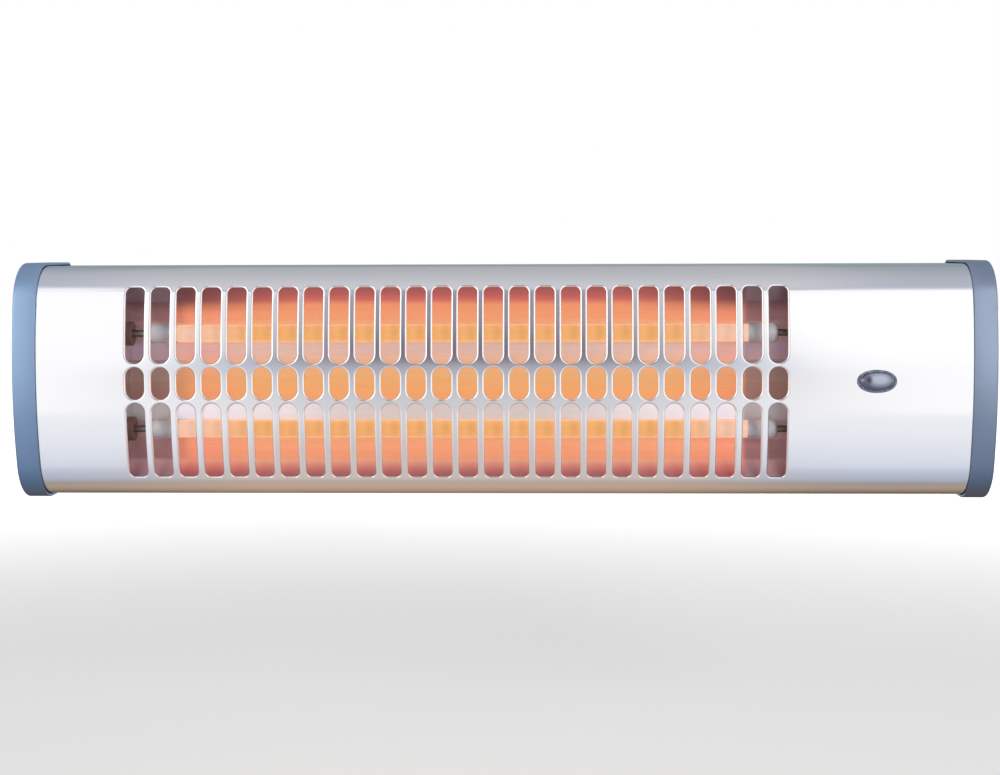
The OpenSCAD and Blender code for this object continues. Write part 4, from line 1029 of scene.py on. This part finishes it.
def front_sheet():
    """The folded sheet: its outside, its inside, and what joins them at every cut edge."""
    flat = np.array([tuple(v) for v in cut[0]]) * mm
    source_of = {old: new for new, olds in enumerate(cut[3]) for old in olds}
    owner, position = np.full(len(flat), -1), np.zeros(len(flat), int)
    rings = [[source_of[i] for i in loop] for loop in hole_loops]
    for index, ring in enumerate(rings):
        owner[ring], position[ring] = index, range(len(ring))
    triangles = [t for t in cut[2] if not 0 <= owner[t[0]] == owner[t[1]] == owner[t[2]]]
    used = np.unique(triangles)
    renumber = np.full(len(flat), -1)
    renumber[used] = range(len(used))
    (outer, facing), (inner, _) = on_sheet(flat[used], 0.0), on_sheet(flat[used], sheet_thickness)
    count, faces, directed = len(used), [], {}
    for a, b, c in renumber[np.array(triangles)]:
        if np.dot(np.cross(outer[b] - outer[a], outer[c] - outer[a]), facing[a]) < 0:
            b, c = c, b
        faces += [(a, b, c), (a + count, c + count, b + count)]
        directed.update(dict.fromkeys(((a, b), (b, c), (c, a))))
    vertices, normals, layers_of, total = [outer, inner], [facing, -facing], [], 2 * count
    for (outline, away), ring in zip(slots, rings):
        ring = renumber[ring]
        places, directions = rim_layers(outline, away, outer[ring], inner[ring], facing[ring])
        numbers = total + np.arange(places[..., 0].size).reshape(places.shape[:2])
        layers_of.append([ring, *numbers, ring + count])
        vertices.append(places.reshape(-1, 3))
        normals.append(directions.reshape(-1, 3))
        total += numbers.size
    for a, b in directed:
        if (b, a) in directed:
            continue
        loop, i, j = owner[used[a]], position[used[a]], position[used[b]]
        if 0 <= loop < len(slots) and loop == owner[used[b]]:
            for near, far in zip(layers_of[loop], layers_of[loop][1:]):
                faces.append((near[j], near[i], far[i], far[j]))
        else:
            faces.append((b, a, a + count, b + count))
    mesh = bpy.data.meshes.new("front_sheet")
    mesh.from_pydata(np.concatenate(vertices).tolist(), [], [tuple(map(int, f)) for f in faces])
    mesh.polygons.foreach_set("use_smooth", [True] * len(mesh.polygons))
    mesh.normals_split_custom_set_from_vertices(np.concatenate(normals).tolist())
    return mesh


def new_piece(name, mesh, body, finish):
    """Links a finished mesh as a piece that rides on a body."""
    piece = linked(name, mesh)
    mesh.materials.append(finishes[finish])
    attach(piece, body)
    return piece


front = new_piece("bowed_front", front_sheet(), "heater", "steel_front")
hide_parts("front_shell")
print("front sheet:", len(front.data.vertices), "vertices,", len(front.data.polygons), "faces")

# %% [markdown]
# ## Meshes from rings
# Many shapes here are stacks of rings: points that go round once, at one level after another.
# Quads join each ring to the next, whether the ring is a circle or the housing's outline. A
# ring on the axis keeps a tiny radius.

# %% Rings, lathe and mesh
def ring_quads(levels, count, closed=False):
    """Quads between rings of count points; a closed stack joins its last ring to its first."""
    return [(k * count + i, k * count + (i + 1) % count,
             (k + 1) % levels * count + (i + 1) % count, (k + 1) % levels * count + i)
            for k in range(levels if closed else levels - 1) for i in range(count)]


def end_faces(levels, count):
    """One face over the first ring and one over the last."""
    return [tuple(range(count))[::-1], tuple(range((levels - 1) * count, levels * count))]


def turned(profile, steps=40, closed=False):
    """A solid turned about Z from [radius, height] points. A closed profile gives a tube."""
    cosine, sine = circle(steps)
    points = np.concatenate([np.column_stack([r * cosine, r * sine, np.full(steps, z)])
                             for r, z in profile])
    faces = ring_quads(len(profile), steps, closed)
    return points, faces if closed else faces + end_faces(len(profile), steps)


def join_parts(parts):
    """One list of points and faces from several."""
    points, faces, base = [], [], 0
    for p, f in parts:
        points.append(p)
        faces += [tuple(int(v) + base for v in face) for face in f]
        base += len(p)
    return np.concatenate(points), faces


def tidy_mesh(name, points, faces, sharp_degrees=35):
    """A mesh with outward faces, smooth except along edges sharper than the given angle."""
    mesh = bpy.data.meshes.new(name)
    mesh.from_pydata([tuple(p) for p in points], [], faces)
    bm = bmesh.new()
    bm.from_mesh(mesh)
    bmesh.ops.remove_doubles(bm, verts=bm.verts, dist=0.001 * mm)
    bmesh.ops.recalc_face_normals(bm, faces=bm.faces)
    for face in bm.faces:
        face.smooth = True
    for edge in bm.edges:
        edge.smooth = edge.calc_face_angle(math.pi) < math.radians(sharp_degrees)
    bm.to_mesh(mesh)
    bm.free()
    return mesh


axis = 0.01 * mm
print("a turned profile of 6 points has", len(turned([(axis, 0.0)] * 6)[1]), "faces")

# %% [markdown]
# ## The end caps
# Each cap is a moulded cup. Its band stands a little proud of the steel, its outer edge is
# rounded, and a spigot reaches inside the sheet. It is made as on a lathe, but with the
# housing's section in place of a circle: each ring is that outline, drawn in by some inset.

# %% The end caps
def cap_ring(inset, rear_depth, rear_radius):
    """The housing's whole outline, drawn in by inset, as [depth, height] points."""
    front, corner, fold = (arc_points(arc, count)[:, :2] for arc, count in
                           zip(section_arcs(inset, rear_depth, rear_radius), (19, 23, 9)))
    wall = np.linspace(corner[-1], fold[0], 7)[1:-1]
    rear = np.linspace(fold[-1], [rear_depth, 0.0], 9)[1:]
    upper = np.concatenate([front[:-1], corner, wall, fold, rear])
    return np.concatenate([upper, upper[-2:0:-1] * [1, -1]])


def ring_stack(rings):
    """A closed mesh from rings [x, outline]; a fan closes the first and the last."""
    count, last = len(rings[0][1]), len(rings) - 1
    points = np.concatenate([np.column_stack([np.full(count, x), front_y + ring[:, 0], ring[:, 1]])
                             for x, ring in rings])
    faces = ring_quads(len(rings), count)
    for i in range(count):
        j = (i + 1) % count
        faces += [(len(points), j, i), (len(points) + 1, last * count + i, last * count + j)]
    return np.concatenate([points, [points[:count].mean(0), points[-count:].mean(0)]]), faces


def drawn_in(ring, share):
    """A ring scaled about its middle."""
    middle = ring.mean(0)
    return middle + (ring - middle) * share


end_x, spigot_x = cap_high.x, cap_low.x
band_x = end_x - 13.3 * mm
floor_x = end_x - 2.5 * mm
seat_x = band_x + 5.3 * mm
edge_radius, lip, rear_radius = 1.4 * mm, 0.4 * mm, 5 * mm
cap_rear = cap_high.y - front_y


def cap_mesh(side):
    """A cap from the floor of its cup, over the spigot and the band, to its outer face."""
    spigot_inside = cap_ring(5.0 * mm, 74.9 * mm, 1.0 * mm)
    spigot_outside = cap_ring(3.0 * mm, 76.9 * mm, 1.2 * mm)
    groove = cap_ring(1.3 * mm, 78.3 * mm, 1.4 * mm)
    rings = [(floor_x, drawn_in(spigot_inside, share)) for share in (0.3, 0.8)] + [
        (floor_x, spigot_inside), (spigot_x, spigot_inside), (spigot_x, spigot_outside),
        (seat_x, spigot_outside), (seat_x, groove), (band_x, groove)]
    band = [(band_x + lip * (1 - math.cos(a)), lip * (1 - math.sin(a)))
            for a in np.linspace(0, math.pi / 2, 4)]
    band += [(end_x - 0.2 * mm - edge_radius * (1 - math.sin(a)), edge_radius * (1 - math.cos(a)))
             for a in np.linspace(0, math.radians(84), 9)]
    rings += [(x, cap_ring(inset, cap_rear - inset, rear_radius - inset)) for x, inset in band]
    last = rings[-1][1]
    rings += [(end_x - back * mm, drawn_in(last, share))
              for share, back in ((0.93, 0.12), (0.7, 0.04), (0.3, 0.0))]
    points, faces = ring_stack(rings)
    return points * [side, 1, 1], faces


def screw_post(x, z, foot, top, radius=4.5 * mm, bore=1.8 * mm, bore_depth=12 * mm):
    """A round post along Y with a blind bore for a screw from its top."""
    points, faces = turned([(axis, foot), (radius, foot), (radius, top), (bore, top),
                            (bore, top - bore_depth), (axis, top - bore_depth)], 32)
    return points[:, [0, 2, 1]] + [x, 0.0, z], faces


post_x, post_z, post_foot_y = 255.7 * mm, 45 * mm, front_y + 62.9 * mm
plate_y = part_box("back_plate")[0].y
for side, name, node in ((-1, "left_cap", "left_end_cap"), (1, "right_cap", "right_end_cap")):
    parts = [cap_mesh(side)] + [screw_post(side * post_x, level * post_z, post_foot_y, plate_y)
                                for level in (-1, 1)]
    cap = new_piece(name, tidy_mesh(name, *join_parts(parts)), "heater", "cap_plastic")
    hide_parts(node)
    print(name, len(cap.data.vertices), "vertices")

# %% [markdown]
# ## The pilot lamp
# The lamp is an oval jewel: a dark bezel cut into small facets that sparkle, with painted
# pale patches as more sparkle, and a lens with a clear crown in the middle. Facets must stay
# flat, so these two meshes are not shaded smooth. The oval is a superellipse. The lens's
# colour is painted light: paler in its middle, for the glow of the lit diffuser behind it,
# and a painted reflection of the dark bezel towards the rim, with a dark spot at its left.

# %% The bezel and the lens
facet_count, oval_power = 36, 2 / 2.12


def oval_ring(width, height, y, turn):
    """A ring of points round the lamp's oval, at one depth."""
    a = (np.arange(facet_count) + turn) * 2 * math.pi / facet_count
    x, z = (np.sign(v) * np.abs(v) ** oval_power for v in (np.cos(a), np.sin(a)))
    return np.column_stack([lamp_x + x * width / 2, np.full(facet_count, y),
                            lamp_z + z * height / 2])


def jewel(name, rings, finish, node):
    """Flat facets between ovals [width, height, y, turn]. Where one oval is turned by half a
    facet against the next, the facets between them are triangles."""
    faces = end_faces(len(rings), facet_count)
    for k in range(len(rings) - 1):
        step = rings[k + 1][3] - rings[k][3]
        for a, b, d, c in ring_quads(2, facet_count):
            a, b, c, d = (v + k * facet_count for v in (a, b, c, d))
            if step > 0:
                faces += [(a, b, c), (b, d, c)]
            elif step < 0:
                faces += [(a, b, d), (a, d, c)]
            else:
                faces.append((a, b, d, c))
    mesh = tidy_mesh(name, np.concatenate([oval_ring(*ring) for ring in rings]), faces)
    mesh.polygons.foreach_set("use_smooth", [False] * len(mesh.polygons))
    piece = new_piece(name, mesh, "heater", finish)
    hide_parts(node)
    print(name, len(mesh.polygons), "facets")


def lens_finish():
    """Painted glow pale in the jewel's middle, a painted dark blue-grey reflection at its rim."""
    made = Finish("lens_plastic", seen(120, 130, 150), 0.05, Coat_Weight=1.0, Coat_Roughness=0.02)
    place = made.place()

    def share_of_oval(x, z, half_width, half_height):
        """How far out a place lies from an oval's middle, and 1 on the oval."""
        centred = made.vector("SUBTRACT", place, (lamp_x + x * mm, 0.0, lamp_z + z * mm))
        return made.number("LENGTH", made.vector("MULTIPLY", centred, (
            1 / (half_width * mm), 0.0, 1 / (half_height * mm))), kind="VectorMath")

    # Painted light and reflection: pale where the lit diffuser shows, dark where the bezel is
    # mirrored.
    clear = made.ramp(share_of_oval(1.2, 1.3, 8.6, 5.0), [(0.35, 214, 222, 242),
                                                         (1.0, 96, 106, 138)])
    in_spot = made.spread(share_of_oval(-4.9, 0.7, 2.0, 3.4), 1.0, 0.3)
    made.drive("Base Color", made.mixed(in_spot, clear, seen(98, 78, 88)))


lens_finish()
shell_face_y, crown = shell_low.y, bezel_low.y
w, h = bezel_high.x - bezel_low.x, bezel_high.z - bezel_low.z
jewel("lamp_bezel", [(w - less * mm, h - less * mm, y, turn) for less, y, turn in (
    (1.6, bezel_high.y, 0.0), (1.6, shell_face_y, 0.0), (0.0, shell_face_y, 0.0),
    (0.0, shell_face_y - 0.35 * mm, 0.0), (1.1, crown + 0.15 * mm, 0.5), (2.1, crown, 0.0),
    (3.2, crown + 0.5 * mm, 0.5), (3.2, bezel_high.y - 1.5 * mm, 0.5))],
    "bezel_plastic", "pilot_bezel")
lens_low, lens_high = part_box("pilot_lens")
w, h, crown = lens_high.x - lens_low.x, lens_high.z - lens_low.z, lens_low.y
jewel("lamp_lens", [
    (w - 3.0 * mm, h - 3.0 * mm, lens_high.y, 0.0), (w, h, lens_high.y, 0.0),
    (w, h, crown + 2.3 * mm, 0.0), (w * 0.80, h * 0.80, crown + 1.1 * mm, 0.5),
    (w * 0.62, h * 0.60, crown + 0.55 * mm, 0.0), (w * 0.30, h * 0.30, crown + 0.1 * mm, 0.0),
    (w * 0.02, h * 0.02, crown, 0.0)], "lens_plastic", "pilot_lens")

# %% [markdown]
# ## Screws
# Every screw is a pan-head with a cross recess. The head and the threaded shank are one
# turned profile, and the recess is cut with a Boolean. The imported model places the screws:
# the box of each separate solid of a screw node gives one its place and its length.

# %% Screws
def solids_of(node):
    """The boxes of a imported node's separate solids, as (low, high) pairs."""
    mesh = frame["nodes"][node].data
    keys = [tuple(round(c / (0.002 * mm)) for c in v.co) for v in mesh.vertices]
    parent = {k: k for k in keys}

    def root(k):
        while parent[k] != k:
            parent[k] = parent[parent[k]]
            k = parent[k]
        return k

    for edge in mesh.edges:
        parent[root(keys[edge.vertices[0]])] = root(keys[edge.vertices[1]])
    groups = {}
    for key, vertex in zip(keys, mesh.vertices):
        groups.setdefault(root(key), []).append(tuple(vertex.co))
    return sorted(((np.min(g, 0), np.max(g, 0)) for g in groups.values()),
                  key=lambda box: tuple(box[0]))


def cross_recess(reach, width, top, depth):
    """Two tapered wedges that cross, as a cutter for the recess."""
    parts = []
    for turn in (0, 1):
        corners = []
        for z, share in ((top - depth, 0.35), (top + 0.5 * mm, 1.1)):
            for sx, sy in ((-1, -1), (1, -1), (1, 1), (-1, 1)):
                x, y = sx * reach * share, sy * width / 2 * (0.6 + 0.4 * share)
                corners.append((-y, x, z) if turn else (x, y, z))
        parts.append((np.array(corners), ring_quads(2, 4) + end_faces(2, 4)))
    return parts


def cut_away(target_part, cutter_parts):
    """Points and faces of one solid after cutters are taken from it."""
    target = linked("blank", tidy_mesh("blank", *target_part))
    tools = [linked("tool", tidy_mesh("tool", *part)) for part in cutter_parts]
    for tool in tools:
        modify(target, "cut", "BOOLEAN", operation="DIFFERENCE", solver="EXACT", object=tool)
    bpy.context.view_layer.update()
    result = target.evaluated_get(bpy.context.evaluated_depsgraph_get()).to_mesh()
    points = np.array([tuple(v.co) for v in result.vertices])
    faces = [tuple(p.vertices) for p in result.polygons]
    for used in (*tools, target):
        bpy.data.objects.remove(used)
    return points, faces


def pan_head_screw(length, head_radius, head_height, shank_radius):
    """A screw along Z: its head's seat is at zero and its shank reaches down."""
    pitch, root_radius = 1.0 * mm, shank_radius - 0.25 * mm
    profile = [(0.4 * mm, -length), (shank_radius * 0.8, -length + 0.6 * mm)]
    for turn in range(max(2, int((length - 1.2 * mm) / pitch))):
        low = -length + 0.7 * mm + turn * pitch
        profile += [(root_radius, low), (shank_radius, low + 0.45 * pitch),
                    (shank_radius, low + 0.55 * pitch)]
    profile += [(root_radius, -0.35 * mm), (shank_radius - 0.2 * mm, 0.0),
                (head_radius - 0.15 * mm, 0.0), (head_radius, 0.2 * mm)]
    profile += [(head_radius * math.cos(a) ** 0.6, head_height * (0.25 + 0.75 * math.sin(a)))
                for a in np.linspace(0, math.pi / 2, 9)[1:-1]]
    profile.append((0.2 * mm, head_height))
    return cut_away(turned(profile), cross_recess(0.56 * head_radius, 0.24 * head_radius,
                                                  head_height, 0.62 * head_height))


def lay_screws(node, way, shank_radius=1.7 * mm, head_height=2.2 * mm):
    """Replaces a node of screws with detailed ones that lie along X, way 0, or Y, way 1."""
    copies = []
    for low, high in solids_of(node):
        middle = (low + high) / 2
        heading = 1 if way == 1 or middle[0] > tube_middle_x else -1
        length = high[way] - low[way] - head_height
        points, faces = pan_head_screw(length, (high[2] - low[2]) / 2, head_height, shank_radius)
        placed = points[:, [2, 0, 1] if way == 0 else [0, 2, 1]]
        placed[:, way] *= heading
        middle[way] = high[way] - head_height if heading > 0 else low[way] + head_height
        copies.append((placed + middle, faces))
    body = frame["nodes"][node]["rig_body"]
    piece = new_piece(node + "_detailed", tidy_mesh(node + "_detailed", *join_parts(copies)),
                      body, "screw_steel")
    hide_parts(node)
    return len(copies)


print("screws", sum(lay_screws(node, way) for way, nodes in (
    (1, "back_plate_screws end_cap_screws end_plate_screws component_screws lug_screws"),
    (0, "reflector_screws cutout_screws")) for node in nodes.split()))

# %% [markdown]
# ## The pull rod and its bush
# A round rod hangs from the switch through a bush in the floor of the housing. Both are
# turned: the bush has a rolled flange, and the rod a rounded lower end with a cord hole.

# %% The pull rod and its bush
def turned_piece(name, node, profile, closed=False):
    """A piece turned about the rod's upright axis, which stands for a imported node."""
    points, faces = turned(profile, 48, closed)
    body = frame["nodes"][node]["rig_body"]
    piece = new_piece(name, tidy_mesh(name, points + [rod_x, rod_y, 0.0], faces), body,
                      "white_plastic")
    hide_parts(node)


def rolled(radius, foot, fillet):
    """The rounded lower edge of a turned piece."""
    return [(radius - fillet + fillet * math.sin(a), foot + fillet * (1 - math.cos(a)))
            for a in np.linspace(0, math.pi / 2, 6)]


rod_radius = (rod_high.x - rod_low.x) / 2
cord_hole_radius, cord_hole_top = 1.1 * mm, rod_low.z + 8 * mm
turned_piece("rod", "pull_rod", [
    (axis, cord_hole_top), (cord_hole_radius, cord_hole_top),
    (cord_hole_radius, rod_low.z + 0.3 * mm), (cord_hole_radius + 0.3 * mm, rod_low.z),
    *rolled(rod_radius, rod_low.z, 0.6 * mm), (rod_radius, rod_high.z - 0.4 * mm),
    (rod_radius - 0.4 * mm, rod_high.z), (axis, rod_high.z)])

flange_radius = (bush_high.x - bush_low.x) / 2
bore_radius = rod_radius + 0.8 * mm
flange_top = bush_low.z + 1.0 * mm
turned_piece("cord_bush", "pull_cord_bush", [
    (bore_radius + 0.4 * mm, bush_low.z), *rolled(flange_radius, bush_low.z, 0.5 * mm),
    (flange_radius, flange_top - 0.1 * mm), (flange_radius - 0.1 * mm, flange_top),
    (4.8 * mm, flange_top), (4.8 * mm, bush_high.z - 0.5 * mm), (4.4 * mm, bush_high.z),
    (bore_radius, bush_high.z), (bore_radius, bush_low.z + 0.4 * mm)], closed=True)
print("rod", round(rod_radius / mm, 2), "mm, bush flange", round(flange_radius / mm, 2), "mm")
